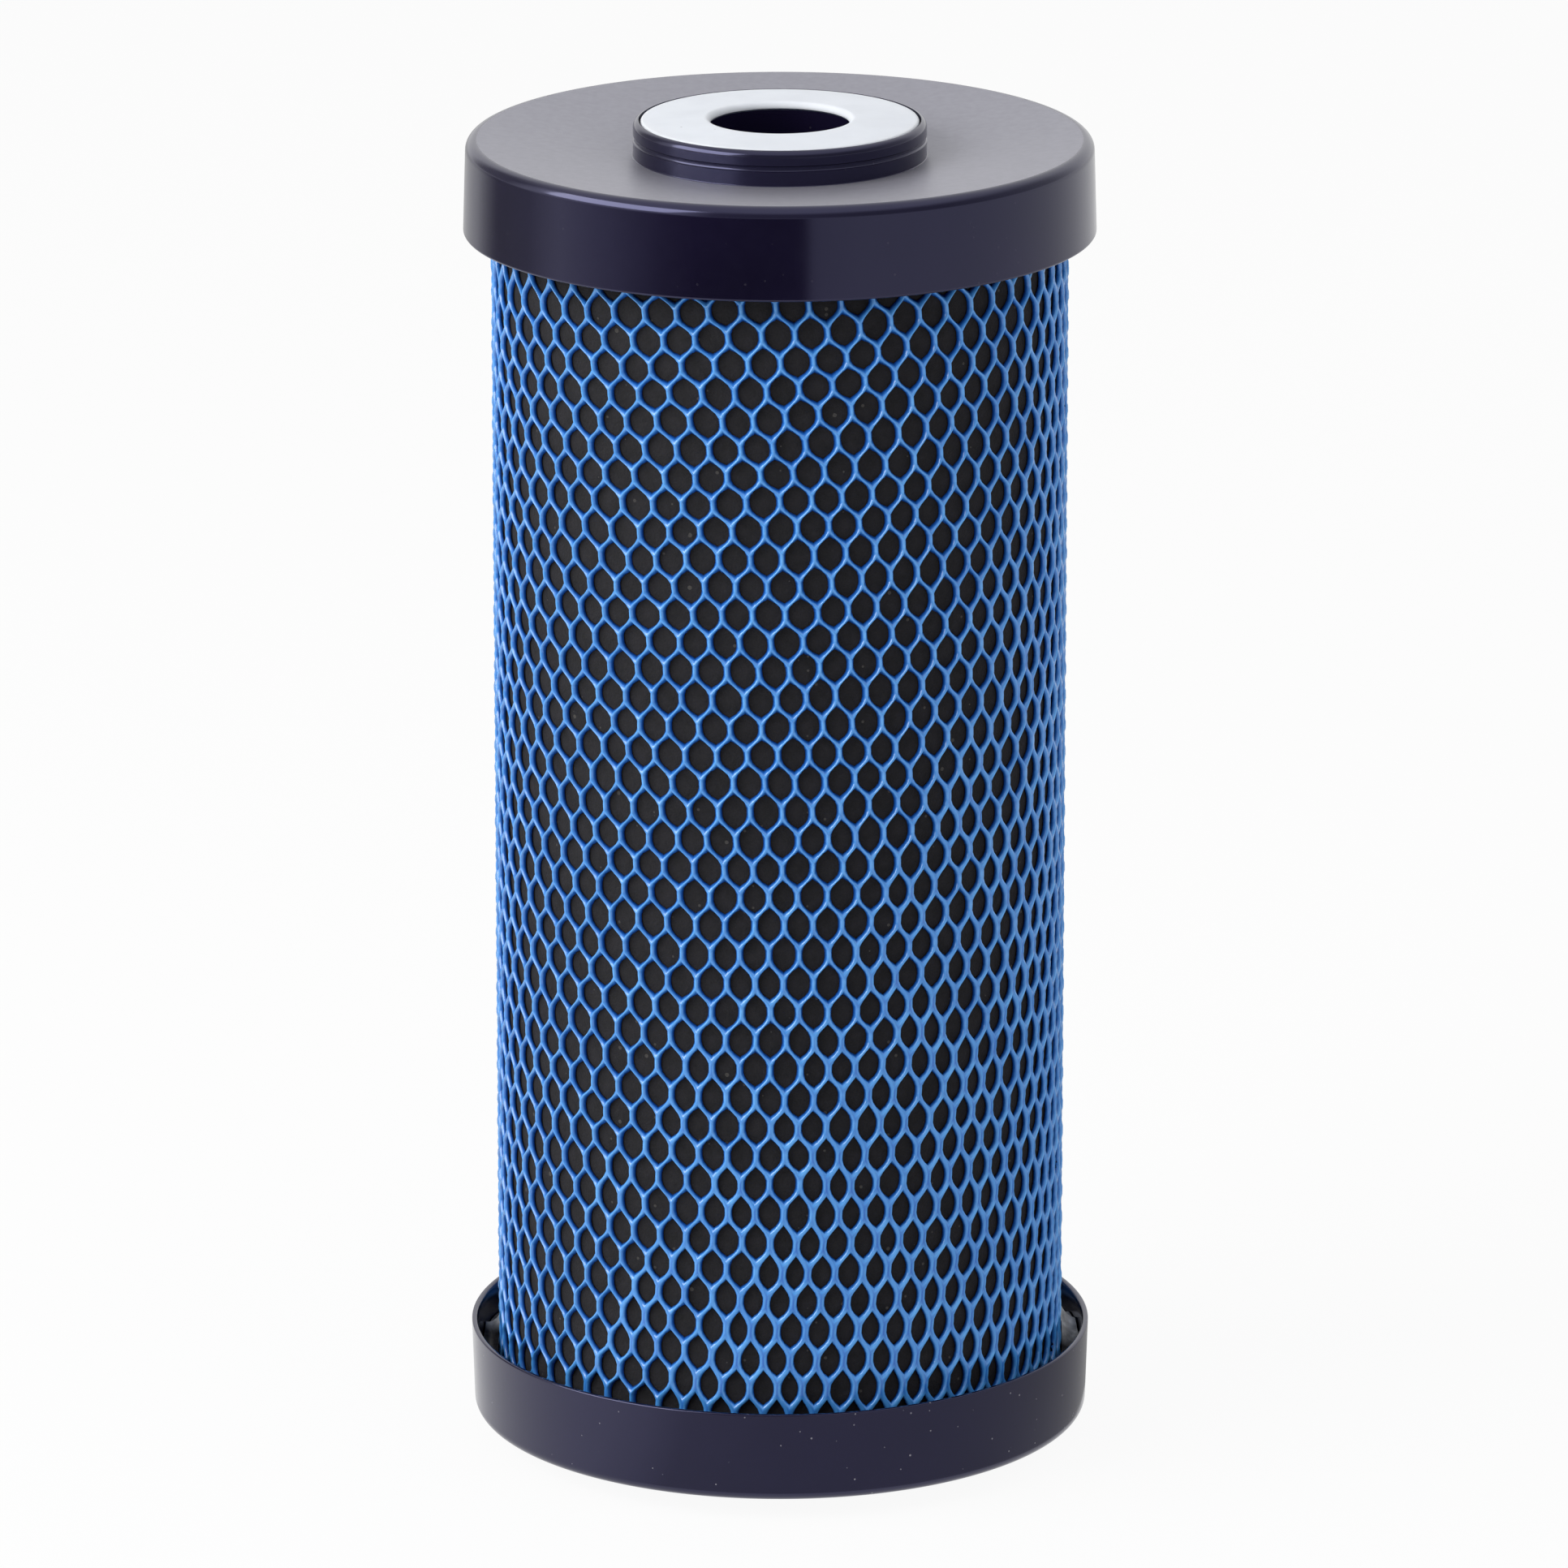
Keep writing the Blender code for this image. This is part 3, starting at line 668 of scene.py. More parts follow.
def wound_sheet(inner, outer, seam_gap, relief, steps):
    """A sheet bent round the axis until its edges nearly meet, as a closed thin band.

    The section runs down the outer face and up the inner one, and is carried round from one side of the
    seam to the other. The outer face is uneven: relief times a sum of waves, which dies out at the edges.
    """
    around, levels = steps
    half_gap = seam_gap / outer / 2.0
    turn = np.linspace(SEAM_TURN + half_gap, SEAM_TURN + FULL_TURN - half_gap, around)[:, None]
    height = np.linspace(BLOCK_HIGH.z, BLOCK_LOW.z, levels)[None, :]
    turn, height = np.broadcast_arrays(turn, height)
    edge = np.sin(np.linspace(0.0, math.pi, around))[:, None] ** 0.25
    uneven = waves(seed=21, count=24, turn=turn, height=height, round_cycles=90, height_cycles=220.0)
    uneven = relief * edge * uneven
    outer_face = round_axis(turn, outer - relief + uneven, height)
    inner_face = round_axis(turn, inner, height)[:, ::-1]
    points = np.concatenate([outer_face, inner_face], axis=1)
    index = np.arange(around * 2 * levels).reshape(around, 2 * levels)
    upper = index[:, : levels - 1]
    lower = index[:, 1:levels]
    upper_back = index[:, ::-1][:, : levels - 1]
    lower_back = index[:, ::-1][:, 1:levels]
    first = np.stack([upper[0], upper_back[0], lower_back[0], lower[0]], axis=-1)
    last = np.stack([upper[-1], lower[-1], lower_back[-1], upper_back[-1]], axis=-1)
    quads = [grid_quads(around, 2 * levels, False, True), first, last]
    return points.reshape(-1, 3), np.concatenate(quads)


def bell(turn, middle, width):
    """exp(-d d), with d the turn's distance from the middle in widths."""
    return np.exp(-(((turn - middle) / width) ** 2))


def adhesive_surface(cap, melt, block_end, smeared):
    """Adhesive in a cap whose boss stands at 0: boss pocket, layer under the block and lip in the skirt.

    The section is carried round the axis. Its lip rises and falls with a sum of waves, and two bells of
    the angle draw it up where adhesive was smeared between net and skirt.
    """
    turn = np.linspace(-math.pi, math.pi, ADHESIVE_STEPS, endpoint=False)
    lay = {"turn": turn, "height": np.zeros_like(turn), "height_cycles": 0.0}
    crumple = 1.0 + CRUMPLE * waves(seed=33, count=9, round_cycles=70, **lay)
    smear = bell(turn, melt.smear_angle, melt.smear_width) * crumple
    string = STRING_SHARE * bell(turn, melt.string_angle, melt.string_width)
    drawn = smeared * melt.smear_height * np.clip(smear + string, 0.0, MOST_DRAWN)
    pool = melt.unevenness * waves(seed=31, count=8, round_cycles=14, **lay)
    layer_foot = -cap.face_thickness - FIT_GAP
    layer_edge = layer_foot + cap.face_dish
    layer_rim = skirt_radius(cap, layer_edge) - cap.wall - FIT_GAP
    pocket_top = cap.boss_height - cap.seat_depth - cap.seat_thickness - FIT_GAP
    pocket_radius = cap.boss_radius - cap.boss_wall - FIT_GAP
    neck = cap.neck_bore + cap.neck_wall + FIT_GAP
    skirt = skirt_radius(cap, -melt.lip_depth) - cap.wall - SKIN_GAP
    net_side = NET_HIGH.x + SKIN_GAP
    above = [(neck, pocket_top), (pocket_radius, pocket_top)]
    above += [(pocket_radius, layer_foot), (layer_rim, layer_edge)]
    share = np.linspace(0.0, 1.0, LIP_STEPS)
    across = np.stack([skirt + (net_side - skirt) * share, 0.0 * share], axis=1)
    radius, height = np.vstack([above, across, [(net_side, block_end), (neck, block_end)]]).T
    height = np.tile(height, (ADHESIVE_STEPS, 1))
    lip = slice(len(above), len(above) + LIP_STEPS)
    hollow = melt.dish * 4.0 * share * (1.0 - share)
    climb = LEAST_CLIMB + (1.0 - LEAST_CLIMB) * share
    height[:, lip] = (pool - melt.lip_depth)[:, None] + hollow - drawn[:, None] * climb
    whitened_and_glint = np.zeros_like(height)
    whitened_and_glint[:, lip] = (drawn / melt.smear_height)[:, None] * climb
    return turn[:, None], radius[None, :], height, whitened_and_glint


def wire(tree, made, links):
    """Link each named input of a node to a socket, or give it a value."""
    for socket, source in links.items():
        if isinstance(source, bpy.types.NodeSocket):
            tree.links.new(source, made.inputs[socket])
        else:
            made.inputs[socket].default_value = source


def node(tree, kind, links, **values):
    """A new node with its properties set and its inputs linked or given a value."""
    made = tree.nodes.new(kind)
    for name, value in values.items():
        setattr(made, name, value)
    wire(tree, made, links)
    return made


def maths(tree, operation, first, second):
    """The result of a Math node."""
    return node(tree, "ShaderNodeMath", {0: first, 1: second}, operation=operation).outputs[0]


def blend_colour(tree, share, first, second):
    """The result of a colour Mix node."""
    return node(tree, "ShaderNodeMix", {0: share, 6: first, 7: second}, data_type="RGBA").outputs[2]


def spread_between(tree, value, low, high):
    """A value from 0 to 1, moved to lie between low and high."""
    return node(tree, "ShaderNodeMapRange", {0: value, 3: low, 4: high}).outputs[0]


def new_group(name, inputs, result):
    """An empty shader node group with named sockets of given kinds, its inputs and its end node."""
    group = bpy.data.node_groups.new(name, "ShaderNodeTree")
    for side, sockets in (("INPUT", inputs), ("OUTPUT", result)):
        for socket, kind in sockets.items():
            group.interface.new_socket(name=socket, in_out=side, socket_type="NodeSocket" + kind)
    return group, group.nodes.new("NodeGroupInput").outputs, group.nodes.new("NodeGroupOutput")


def noise_in(group, given, detail):
    """Noise in a group that is given a vector and a scale."""
    links = {"Vector": given["Vector"], "Scale": given["Scale"], "Detail": detail}
    return node(group, "ShaderNodeTexNoise", links).outputs["Fac"]


def grain_group(name):
    """Fine uneven grain between 0 and 1, from noise at a given scale."""
    group, given, end = new_group(name, {"Vector": "Vector", "Scale": "Float"}, {"Grain": "Float"})
    wire(group, end, {"Grain": noise_in(group, given, 4.0)})
    return group


def speck_group(name):
    """A mask of scattered round specks: Voronoi cells whose random colour is under the share."""
    inputs = {"Vector": "Vector", "Scale": "Float", "Size": "Float", "Share": "Float"}
    group, given, end = new_group(name, inputs, {"Mask": "Float"})
    cells = node(group, "ShaderNodeTexVoronoi", {"Vector": given["Vector"], "Scale": given["Scale"]}).outputs
    draw = node(group, "ShaderNodeSeparateColor", {"Color": cells["Color"]}).outputs
    chosen = maths(group, "LESS_THAN", draw[0], given["Share"])
    size = maths(group, "MULTIPLY", draw[1], given["Size"])
    inside = maths(group, "LESS_THAN", cells["Distance"], size)
    wire(group, end, {"Mask": maths(group, "MULTIPLY", chosen, inside)})
    return group


def tone_group(name):
    """A colour that drifts between two tones with soft noise."""
    inputs = {"Vector": "Vector", "Scale": "Float", "Dark": "Color", "Light": "Color"}
    group, given, end = new_group(name, inputs, {"Colour": "Color"})
    ramp = node(group, "ShaderNodeMapRange", {0: noise_in(group, given, 3.0), 1: 0.32, 2: 0.68}).outputs[0]
    wire(group, end, {"Colour": blend_colour(group, ramp, given["Dark"], given["Light"])})
    return group


EFFECTS = {"fine_grain": grain_group, "specks": speck_group, "two_tones": tone_group}


class Finish:
    """A material in the making: its node tree, its shader and the piece's own coordinates."""

    def __init__(self, name, roughness):
        self.material = bpy.data.materials.new(name)
        self.material.use_nodes = True
        self.tree = self.material.node_tree
        self.shader = self.tree.nodes["Principled BSDF"]
        self.place = self.tree.nodes.new("ShaderNodeTexCoord").outputs["Object"]
        self.shader.inputs["Roughness"].default_value = roughness

    def feed(self, socket, value):
        """Link a socket to one of the shader's inputs, or set a value there."""
        wire(self.tree, self.shader, {socket: value})

    def effect(self, name, scale, **values):
        """The output of a shared effect, whose group is built when it is first asked for."""
        group = bpy.data.node_groups.get(name) or EFFECTS[name](name)
        links = {"Vector": self.place, "Scale": scale, **values}
        return node(self.tree, "ShaderNodeGroup", links, node_tree=group).outputs[0]

    def tones(self, scale, tint, dark, light):
        """A tint that drifts between a darker and a lighter tone."""
        shades = [(*[channel * factor for channel in tint], 1.0) for factor in (dark, light)]
        return self.effect("two_tones", scale, Dark=shades[0], Light=shades[1])

    def mark(self, name):
        """A number that the piece's vertices carry."""
        return node(self.tree, "ShaderNodeAttribute", {}, attribute_name=name).outputs["Fac"]

    def paint(self, share, base, over):
        """Feed the shader a base colour with another over a share of it."""
        self.feed("Base Color", blend_colour(self.tree, share, base, over))

    def roughen(self, grain, low, high):
        """Feed the shader a roughness that runs with a grain."""
        self.feed("Roughness", spread_between(self.tree, grain, low, high))

    def emboss(self, height, strength, distance):
        """Feed a height to the shader's normal."""
        links = {"Height": height, "Strength": strength, "Distance": distance}
        self.feed("Normal", node(self.tree, "ShaderNodeBump", links).outputs["Normal"])


def cap_finish(cap):
    """Dark moulded plastic: glossy skirt and boss, satin face painted grey, partly its own satin grey and
    partly a painted sheen, a little dust.
    """
    finish = Finish("cap_plastic_finish", 0.2)
    tree = finish.tree
    satin = finish.mark("satin")
    finish.feed("Specular IOR Level", 0.82)
    finish.feed("Specular Tint", (*cap.sheen, 1.0))
    finish.feed("Coat Roughness", 0.42)
    finish.feed("Coat Weight", maths(tree, "MULTIPLY", satin, 0.28))
    gloss = finish.tones(45.0, cap.plastic, 0.85, 1.15)
    # Painted sheen: the satin face is painted grey, partly its own grey and partly for its sheen at a low
    # angle
    grey_and_painted_sheen = finish.tones(700.0, cap.satin_grey_and_painted_sheen, 0.93, 1.07)
    rise = node(tree, "ShaderNodeSeparateXYZ", {0: finish.place}).outputs["Z"]
    settled = node(tree, "ShaderNodeMapRange", {0: rise, 1: 0.0, 2: 0.05, 3: 1.0, 4: 0.06}).outputs[0]
    dust = maths(tree, "MULTIPLY", finish.effect("specks", 600.0, Size=0.12, Share=0.50), settled)
    finish.paint(dust, blend_colour(tree, satin, gloss, grey_and_painted_sheen), (*cap.dust, 1.0))
    grain = maths(tree, "MULTIPLY", finish.effect("fine_grain", 320.0), 0.06)
    rough = maths(tree, "ADD", spread_between(tree, satin, 0.11, 0.36), grain)
    finish.feed("Roughness", maths(tree, "ADD", rough, maths(tree, "MULTIPLY", dust, 0.4)))
    pores = finish.effect("fine_grain", 1400.0)
    depth = maths(tree, "MULTIPLY", pores, spread_between(tree, satin, 0.15, 1.0))
    finish.emboss(depth, 0.25, 0.02 * MM)
    return finish.material


def gasket_finish(gasket):
    """Smooth white rubber with faint clouding and a few grey specks."""
    finish = Finish("gasket_rubber_finish", 0.6)
    finish.feed("Specular IOR Level", 0.3)
    finish.feed("Subsurface Weight", 0.6)
    finish.feed("Subsurface Radius", (1.0, 1.0, 1.0))
    finish.feed("Subsurface Scale", 1.5 * MM)
    dirt = finish.effect("specks", 330.0, Size=0.10, Share=0.22)
    finish.paint(dirt, finish.tones(120.0, gasket.rubber, 0.97, 1.03), (0.42, 0.42, 0.43, 1.0))
    grain = finish.effect("fine_grain", 900.0)
    finish.roughen(grain, 0.52, 0.70)
    finish.emboss(grain, 0.12, 0.03 * MM)
    return finish.material


def net_finish(net):
    """Blue extruded polyethylene, semi-gloss, with painted shade: deep blue on the sides and in the hollows
    of the strands.
    """
    finish = Finish("net_plastic_finish", 0.3)
    finish.feed("Specular IOR Level", 0.85)
    full, pale, shade_blue = [(*tint, 1.0) for tint in (net.crest_full, net.crest_pale, net.painted_flank_shade)]
    finish.paint(finish.mark("painted_flank_shade"), finish.effect("two_tones", 160.0, Dark=full, Light=pale), shade_blue)
    grain = finish.effect("fine_grain", 700.0)
    finish.roughen(grain, 0.14, 0.24)
    finish.emboss(grain, 0.15, 0.05 * MM)
    return finish.material


def fleece_finish(name, cloth, lint, lint_share):
    """Non-woven fleece: matted fibres, soft relief and stray lint."""
    finish = Finish(name, 0.9)
    specks = finish.effect("specks", 620.0, Size=0.26, Share=lint_share)
    finish.paint(specks, finish.tones(420.0, cloth, 0.62, 1.38), (*lint, 1.0))
    coarse = finish.effect("fine_grain", 1100.0)
    fine = finish.effect("fine_grain", 3200.0)
    finish.roughen(fine, 0.78, 0.98)
    matted = maths(finish.tree, "ADD", coarse, maths(finish.tree, "MULTIPLY", fine, 0.5))
    finish.emboss(matted, 0.7, 0.3 * MM)
    return finish.material


def adhesive_finish(melt):
    """Clear hot-melt, dark over the cap, and pale where it was drawn: partly whitened glue and partly a
    painted highlight for the glints of the smear and string.
    """
    finish = Finish("hot_melt_finish", 0.4)
    finish.feed("Specular IOR Level", 0.3)
    clear = finish.tones(300.0, melt.melt, 0.7, 1.4)
    # Painted highlight: near white where drawn, partly the glue's own whitening and partly its glints
    white = finish.tones(420.0, melt.pale_melt_and_glint, 0.45, 1.0)
    drawn = {0: finish.mark("whitened_and_glint"), 1: 0.12, 2: 0.5}
    finish.paint(node(finish.tree, "ShaderNodeMapRange", drawn).outputs[0], clear, white)
    grain = finish.effect("fine_grain", 420.0)
    finish.roughen(grain, 0.30, 0.55)
    finish.emboss(grain, 0.8, 0.6 * MM)
    return finish.material


def carbon_finish(wrap):
    """Pressed carbon grains with a few lighter specks, a painted glint of the grains' facets."""
    finish = Finish("carbon_finish", 0.7)
    # Painted glint: lighter specks that stand in for light caught on the grains' facets
    painted_glints = finish.effect("specks", 900.0, Size=0.35, Share=0.2)
    finish.paint(painted_glints, finish.tones(1500.0, wrap.carbon, 0.6, 1.6), (0.06, 0.06, 0.06, 1.0))
    grain = finish.effect("fine_grain", 1300.0)
    finish.roughen(grain, 0.5, 0.85)
    finish.emboss(grain, 0.6, 0.3 * MM)
    return finish.material


class CARTRIDGE_OT_caps(Operator):
    """Turn the two moulded caps about the axis"""

    bl_idname = "cartridge.make_caps"
    bl_label = "Caps"

    def execute(self, context):
        cap = context.scene.cartridge_cap
        finish = cap_finish(cap)
        outline, satin = cap_outline(cap)
        upright = outline + (0.0, CAP_HIGH.z - cap.boss_height)
        places = {"top_cap": (upright, satin), "bottom_cap": (turned_over(upright, MIDDLE_Z), satin[::-1])}
        for name, (section, mask) in places.items():
            points, quads = turned(section, TURN_STEPS)
            obj = surface_object(name + "_moulding", points, quads, SHARP_ANGLE)
            mark_points(obj, "satin", np.tile(mask, TURN_STEPS))
            dress(obj, finish, "cap_plastic", MAIN_BODY, name)
        return {"FINISHED"}


class CARTRIDGE_OT_gaskets(Operator):
    """Turn the two flat rings about the axis"""

    bl_idname = "cartridge.make_gaskets"
    bl_label = "Gaskets"

    def execute(self, context):
        gasket = context.scene.cartridge_gasket
        finish = gasket_finish(gasket)
        upper = gasket_outline(gasket) + (0.0, GASKET_LOW.z)
        lower = turned_over(upper, MIDDLE_Z)
        rings = {"top_gasket": (upper, LIFTING_BODY), "bottom_gasket": (lower, MAIN_BODY)}
        for name, (section, body) in rings.items():
            points, quads = turned(section, TURN_STEPS)
            obj = surface_object(name + "_ring", points, quads, SHARP_ANGLE)
            dress(obj, finish, "gasket_rubber", body, name)
        return {"FINISHED"}


class CARTRIDGE_OT_net(Operator):
    """Lay the extruded net round the wrap, as a front and a back half"""

    bl_idname = "cartridge.make_net"
    bl_label = "Net"

    def execute(self, context):
        net = context.scene.cartridge_net
        finish = net_finish(net)
        cloud, painted_flank_shade, numbers, weld, meeting = weld_cells(*net_cells(net))
        normals = point_normals(cloud, ring_quads(numbers))
        middle = net.columns // 2
        halves = {"net_front": np.arange(middle), "net_back": np.arange(middle, net.columns)}
        for name, columns in halves.items():
            used, quads = net_half(numbers, weld, meeting, columns)
            obj = surface_object(name, cloud[used], quads, normals=normals[used])
            mark_points(obj, "painted_flank_shade", painted_flank_shade[used])
            dress(obj, finish, "net_plastic", MAIN_BODY, "netting_sleeve")
        return {"FINISHED"}


class CARTRIDGE_OT_wraps(Operator):
    """Wind the fleece round the block and the liner into its bore"""

    bl_idname = "cartridge.make_wraps"
    bl_label = "Wraps"

    def execute(self, context):
        wrap = context.scene.cartridge_wrap
        outer = fleece_finish("outer_cloth_finish", wrap.outer_cloth, wrap.outer_lint, OUTER_LINT)
        inner = fleece_finish("inner_cloth_finish", wrap.inner_cloth, wrap.inner_cloth, INNER_LINT)
        outer_radii = (BLOCK_HIGH.x + FIT_GAP, wrap.outer_radius)
        inner_radii = (LINER_HIGH.x - LINER_THICKNESS, LINER_HIGH.x)
        sheets = (
            ("outer_fleece", outer, "outer_cloth", "outer_wrap", outer_radii, wrap.relief, OUTER_STEPS),
            ("bore_liner", inner, "inner_cloth", "inner_wrap", inner_radii, LINER_RELIEF, INNER_STEPS),
        )
        for name, finish, slot, solid, radii, relief, steps in sheets:
            points, quads = wound_sheet(*radii, wrap.seam_gap, relief, steps)
            sheet = surface_object(name, points, quads, SHARP_ANGLE)
            dress(sheet, finish, slot, MAIN_BODY, solid)
        return {"FINISHED"}


class CARTRIDGE_OT_adhesive(Operator):
    """Pour the hot-melt adhesive into both caps"""

    bl_idname = "cartridge.make_adhesive"
    bl_label = "Adhesive"

    def execute(self, context):
        cap = context.scene.cartridge_cap
        melt = context.scene.cartridge_adhesive
        finish = adhesive_finish(melt)
        face = CAP_HIGH.z - cap.boss_height
        block_end = BLOCK_HIGH.z - face + FIT_GAP
        for name, smeared in (("top_potting", 0.0), ("bottom_potting", 1.0)):
            turn, radius, height, whitened_and_glint = adhesive_surface(cap, melt, block_end, smeared)
            quads = grid_quads(*height.shape, True, True)
            height = height + face
            if name == "bottom_potting":
                height = 2.0 * MIDDLE_Z - height
                quads = quads[:, ::-1]
            points = round_axis(turn, radius, height).reshape(-1, 3)
            obj = surface_object(name.replace("potting", "adhesive"), points, quads, SHARP_ANGLE)
            mark_points(obj, "whitened_and_glint", whitened_and_glint.ravel())
            dress(obj, finish, "hot_melt", MAIN_BODY, name)
        return {"FINISHED"}


class CARTRIDGE_OT_block(Operator):
    """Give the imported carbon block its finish"""

    bl_idname = "cartridge.finish_block"
    bl_label = "Carbon block"

    def execute(self, context):
        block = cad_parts["carbon_block"]
        block.data.materials.clear()
        block.data.materials.append(carbon_finish(context.scene.cartridge_wrap))
        return {"FINISHED"}


def seen_share(tree, straight, mirrored):
    """One share for rays from the camera or through a clear body, another for reflections, else 0."""
    path = tree.nodes.new("ShaderNodeLightPath").outputs
    direct = maths(tree, "MAXIMUM", path["Is Camera Ray"], path["Is Transmission Ray"])
    direct = maths(tree, "MULTIPLY", direct, straight)
    return maths(tree, "MAXIMUM", direct, maths(tree, "MULTIPLY", path["Is Glossy Ray"], mirrored))


def end_with_mix(tree, output, share, first, second):
    """End a tree with a mix of two shaders."""
    mixed = node(tree, "ShaderNodeMixShader", {0: share, 1: first.outputs[0], 2: second.outputs[0]})
    wire(tree, tree.nodes[output], {"Surface": mixed.outputs[0]})


def bare_material(name):
    """A material with nothing but its output node, and its tree."""
    material = bpy.data.materials.new(name)
    material.use_nodes = True
    tree = material.node_tree
    tree.nodes.remove(tree.nodes["Principled BSDF"])
    return material, tree


def make_world(stage):
    """White behind everything that is seen, and an even fill for the rest."""
    world = bpy.data.worlds.new("studio")
    world.use_nodes = True
    tree = world.node_tree
    fill = tree.nodes["Background"]
    wire(tree, fill, {"Color": WHITE, "Strength": stage.fill_strength})
    white = node(tree, "ShaderNodeBackground", {"Color": WHITE, "Strength": 1.0})
    end_with_mix(tree, "World Output", seen_share(tree, 1.0, 1.0), fill, white)
    bpy.context.scene.world = world


def floor_finish(stage):
    """Pale matt floor, lifted towards white where it is seen, which keeps part of the shadow."""
    material, tree = bare_material("pale_floor")
    matt = node(tree, "ShaderNodeBsdfDiffuse", {"Color": (*stage.floor_colour, 1.0)})
    glow = node(tree, "ShaderNodeEmission", {"Color": WHITE, "Strength": 1.0})
    share = seen_share(tree, stage.floor_glow, stage.floor_mirrored)
    end_with_mix(tree, "Material Output", share, matt, glow)
    return material


def make_floor(stage):
    """A level square under the cartridge."""
    side = np.linspace(-FLOOR_REACH, FLOOR_REACH, FLOOR_STEPS)
    across, along = np.meshgrid(side, side, indexing="ij")
    points = np.stack([across, along, np.full_like(across, -FLOOR_DROP)], axis=-1).reshape(-1, 3)
    quads = grid_quads(FLOOR_STEPS, FLOOR_STEPS, False, False)[:, ::-1]
    floor = surface_object("floor", points, quads)
    floor.data.materials.append(floor_finish(stage))


def card_finish():
    """Black where the card covers, clear where it does not."""
    material, tree = bare_material("painted_reflection_black")
    clear = node(tree, "ShaderNodeBsdfTransparent", {})
    black = node(tree, "ShaderNodeBsdfDiffuse", {"Color": (0.002, 0.002, 0.002, 1.0)})
    cover = node(tree, "ShaderNodeAttribute", {}, attribute_name="cover").outputs["Fac"]
    end_with_mix(tree, "Material Output", cover, clear, black)
    return material


def make_dark_card():
    """A dark panel before the cartridge and a dark sheet at its foot, which only reflections show.
    The panel is a painted reflection of a dark room in front, and the sheet is painted shade on the floor
    at the front and right, which the lower cap reflects.

    The panel is a patch of a sphere round the middle of the cartridge: turn runs round, and rise up. The
    sheet is a ring just over the floor. The cover of both is drawn straight between the given shares.
    """
    degrees = np.linspace(-180.0, 180.0, 361)[:, None]
    rise_degrees = np.linspace(*PANEL_RISE, 35)[None, :]
    turn = np.radians(degrees)
    rise = np.radians(rise_degrees)
    panel = round_axis(turn, PANEL_REACH * np.cos(rise), MIDDLE_Z + PANEL_REACH * np.sin(rise)).reshape(-1, 3)
    # The sheet: painted shade on the floor, seen only in reflections
    sheet = round_axis(turn, np.array([SHADE_SHEET_RADII]), SHADE_SHEET_LIFT).reshape(-1, 3)
    sheet_quads = grid_quads(turn.size, 2, False, False)[:, ::-1] + len(panel)
    quads = np.concatenate([grid_quads(turn.size, rise.size, False, False), sheet_quads])
    card = surface_object("painted_reflection_card", np.concatenate([panel, sheet]), quads)
    foot, head, level = [np.interp(degrees, *zip(*table)) for table in (PANEL_FOOT, PANEL_HEAD, SHADE_SHEET_COVER)]
    foot = foot * (1.0 - smooth_step(*FOOT_END, rise_degrees))
    head = head * smooth_step(*HEAD_START, rise_degrees) * (1.0 - smooth_step(*HEAD_END, rise_degrees))
    cover = [np.maximum(foot, head).ravel(), np.repeat(level, 2)]
    mark_points(card, "cover", np.concatenate(cover))
    card.data.materials.append(card_finish())
    card.visible_camera = False
    card.visible_diffuse = False
    card.visible_shadow = False
    card.visible_transmission = False


def make_soft_box(name, power, angles, distance, sides):
    """A soft box at two angles, round the axis and above level, turned to the middle of the cartridge."""
    lamp = bpy.data.lights.new(name, "AREA")
    lamp.shape = "RECTANGLE"
    lamp.size, lamp.size_y = sides
    lamp.energy = power
    soft_box = bpy.data.objects.new(name, lamp)
    turn, rise = angles
    soft_box.location = round_axis(turn, distance * math.cos(rise), MIDDLE_Z + distance * math.sin(rise))
    aim = Vector((0.0, 0.0, MIDDLE_Z)) - soft_box.location
    soft_box.rotation_euler = aim.to_track_quat("-Z", "Y").to_euler()
    soft_box.visible_camera = False
    bpy.context.scene.collection.objects.link(soft_box)
    return soft_box


def make_lamps(stage):
    """The key at the front left, and a faint matt light from the right."""
    key_angles = (stage.key_angle, stage.key_rise)
    key_sides = (stage.key_width, stage.key_height)
    make_soft_box("key_soft_box", stage.key_power, key_angles, stage.key_distance, key_sides)
    side_angles = (stage.side_angle, stage.key_rise)
    side = make_soft_box("side_soft_box", stage.side_power, side_angles, stage.key_distance, SIDE_BOX)
    side.visible_glossy = False


def make_camera(stage):
    """The camera in front, raised above mid length and tipped down."""
    view = bpy.data.cameras.new("photo_view")
    view.sensor_width = 36.0
    view.lens = stage.camera_lens
    camera = bpy.data.objects.new("photo_view", view)
    camera.location = (stage.camera_aside, -stage.camera_distance, MIDDLE_Z + stage.camera_height)
    camera.rotation_euler = (math.pi / 2.0 - stage.camera_dip, 0.0, 0.0)
    bpy.context.scene.collection.objects.link(camera)
    bpy.context.scene.camera = camera


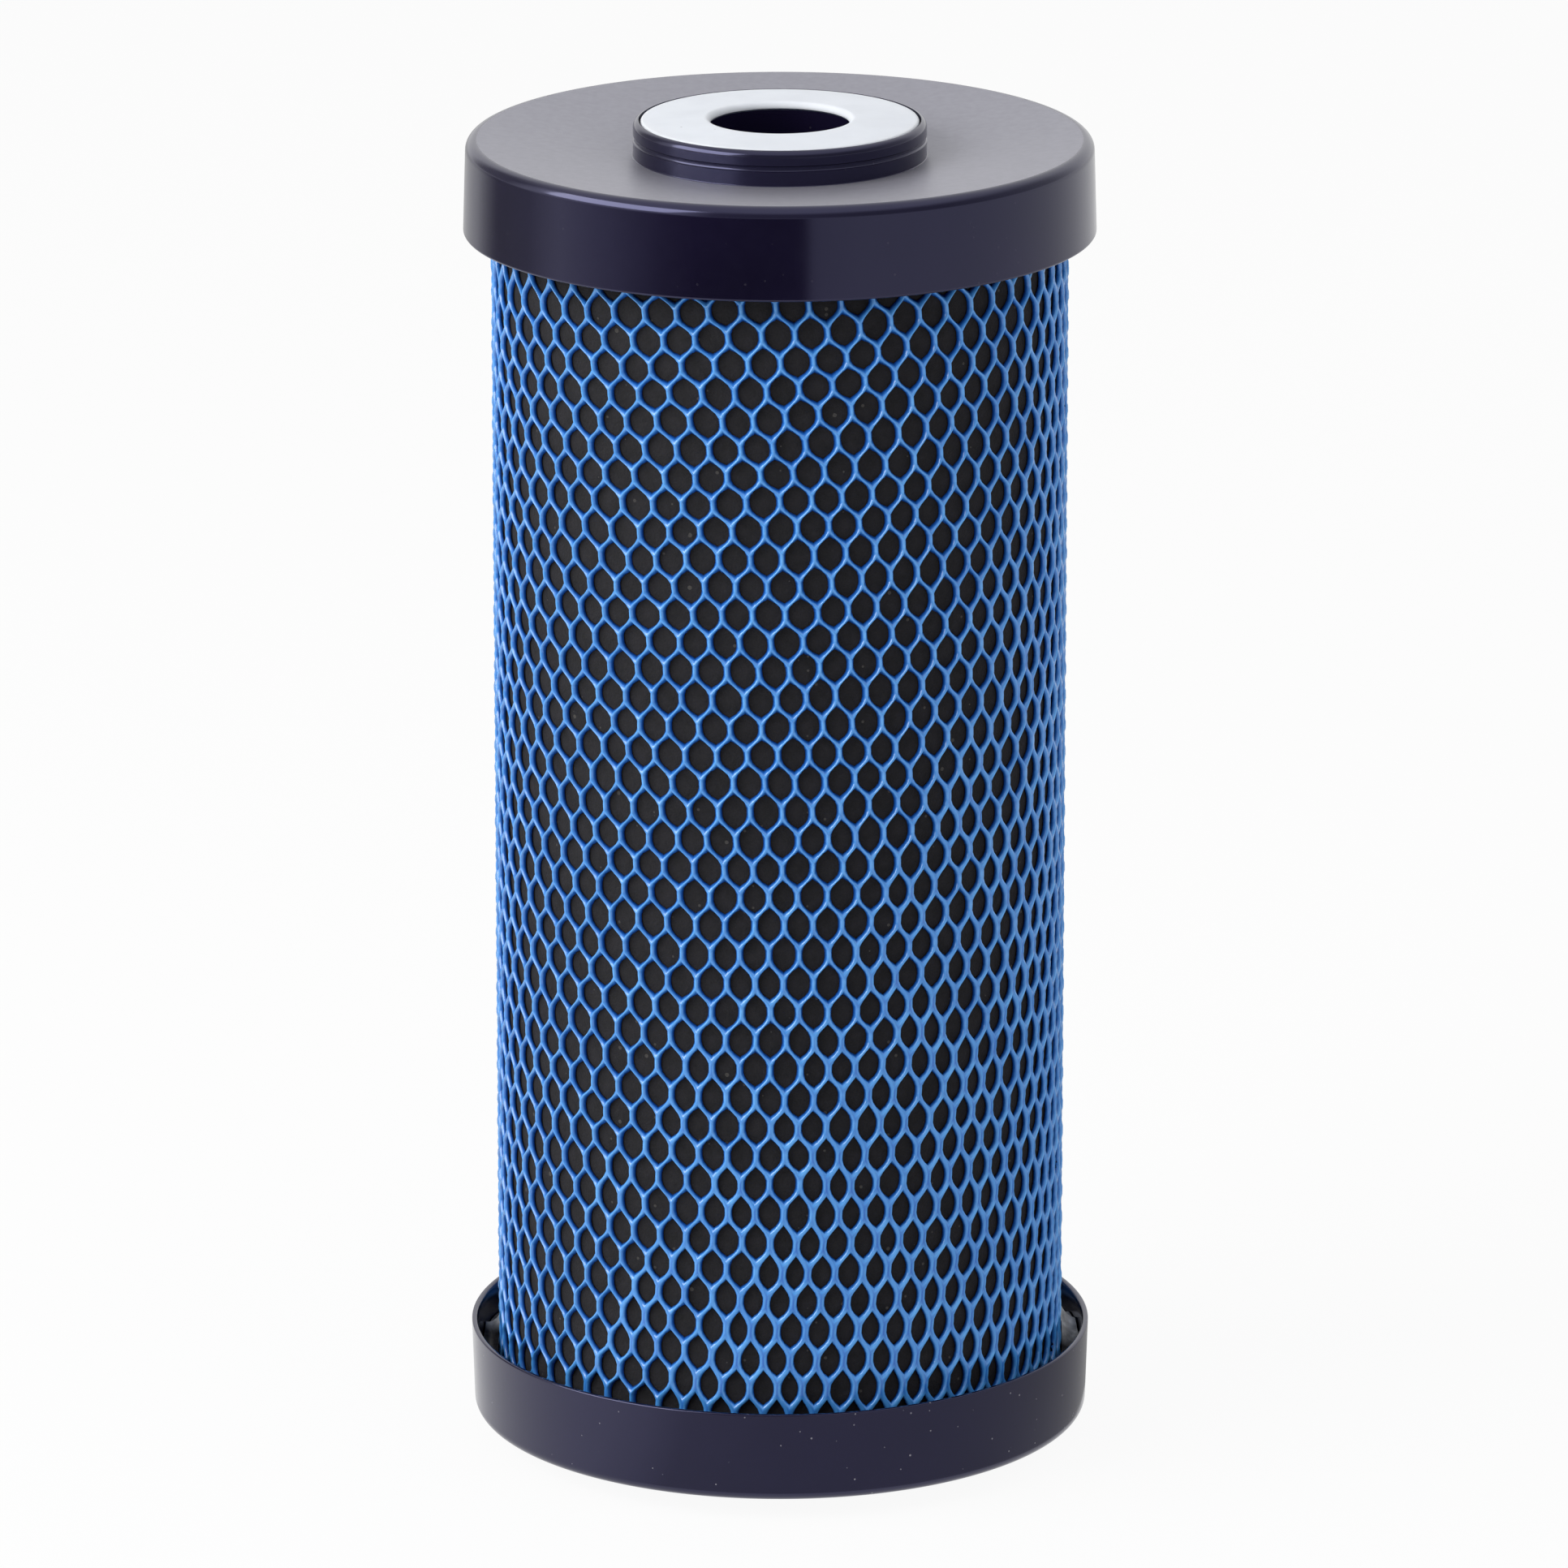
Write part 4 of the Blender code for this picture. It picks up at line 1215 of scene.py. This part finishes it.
class CARTRIDGE_OT_stage(Operator):
    """Set the floor, the light and the camera"""

    bl_idname = "cartridge.make_stage"
    bl_label = "Stage"

    def execute(self, context):
        stage = context.scene.cartridge_stage
        make_world(stage)
        make_floor(stage)
        make_dark_card()
        make_lamps(stage)
        make_camera(stage)
        context.scene.view_settings.view_transform = "Standard"
        return {"FINISHED"}


class VIEW3D_PT_cartridge(Panel):
    """Lists the operators and the settings"""

    bl_label = "Filter cartridge"
    bl_space_type = "VIEW_3D"
    bl_region_type = "UI"
    bl_category = "Cartridge"

    def draw(self, context):
        for group, _, operators in SECTIONS:
            box = self.layout.box()
            for operator in operators:
                box.operator(operator.bl_idname, text=operator.bl_label)
            settings = getattr(context.scene, group)
            for name in settings.__annotations__:
                box.prop(settings, name)


# Each group of settings, the scene property that holds it, and the operators that use it
SECTIONS = (
    ("cartridge_cap", CapSettings, (CARTRIDGE_OT_caps,)),
    ("cartridge_gasket", GasketSettings, (CARTRIDGE_OT_gaskets,)),
    ("cartridge_net", NetSettings, (CARTRIDGE_OT_net,)),
    ("cartridge_wrap", WrapSettings, (CARTRIDGE_OT_wraps, CARTRIDGE_OT_block)),
    ("cartridge_adhesive", AdhesiveSettings, (CARTRIDGE_OT_adhesive,)),
    ("cartridge_stage", StageSettings, (CARTRIDGE_OT_stage,)),
)


def register():
    """Register the settings, the operators and the panel."""
    for name, settings, operators in SECTIONS:
        bpy.utils.register_class(settings)
        setattr(bpy.types.Scene, name, PointerProperty(type=settings))
        for operator in operators:
            bpy.utils.register_class(operator)
    bpy.utils.register_class(VIEW3D_PT_cartridge)


def unregister():
    """Undo register, last class first."""
    bpy.utils.unregister_class(VIEW3D_PT_cartridge)
    for name, settings, operators in reversed(SECTIONS):
        for operator in reversed(operators):
            bpy.utils.unregister_class(operator)
        delattr(bpy.types.Scene, name)
        bpy.utils.unregister_class(settings)


def main():
    """Build every piece and the stage."""
    register()
    bpy.ops.cartridge.make_caps()
    bpy.ops.cartridge.make_gaskets()
    bpy.ops.cartridge.make_net()
    bpy.ops.cartridge.make_wraps()
    bpy.ops.cartridge.make_adhesive()
    bpy.ops.cartridge.finish_block()
    bpy.ops.cartridge.make_stage()


if __name__ == "__main__":
    main()
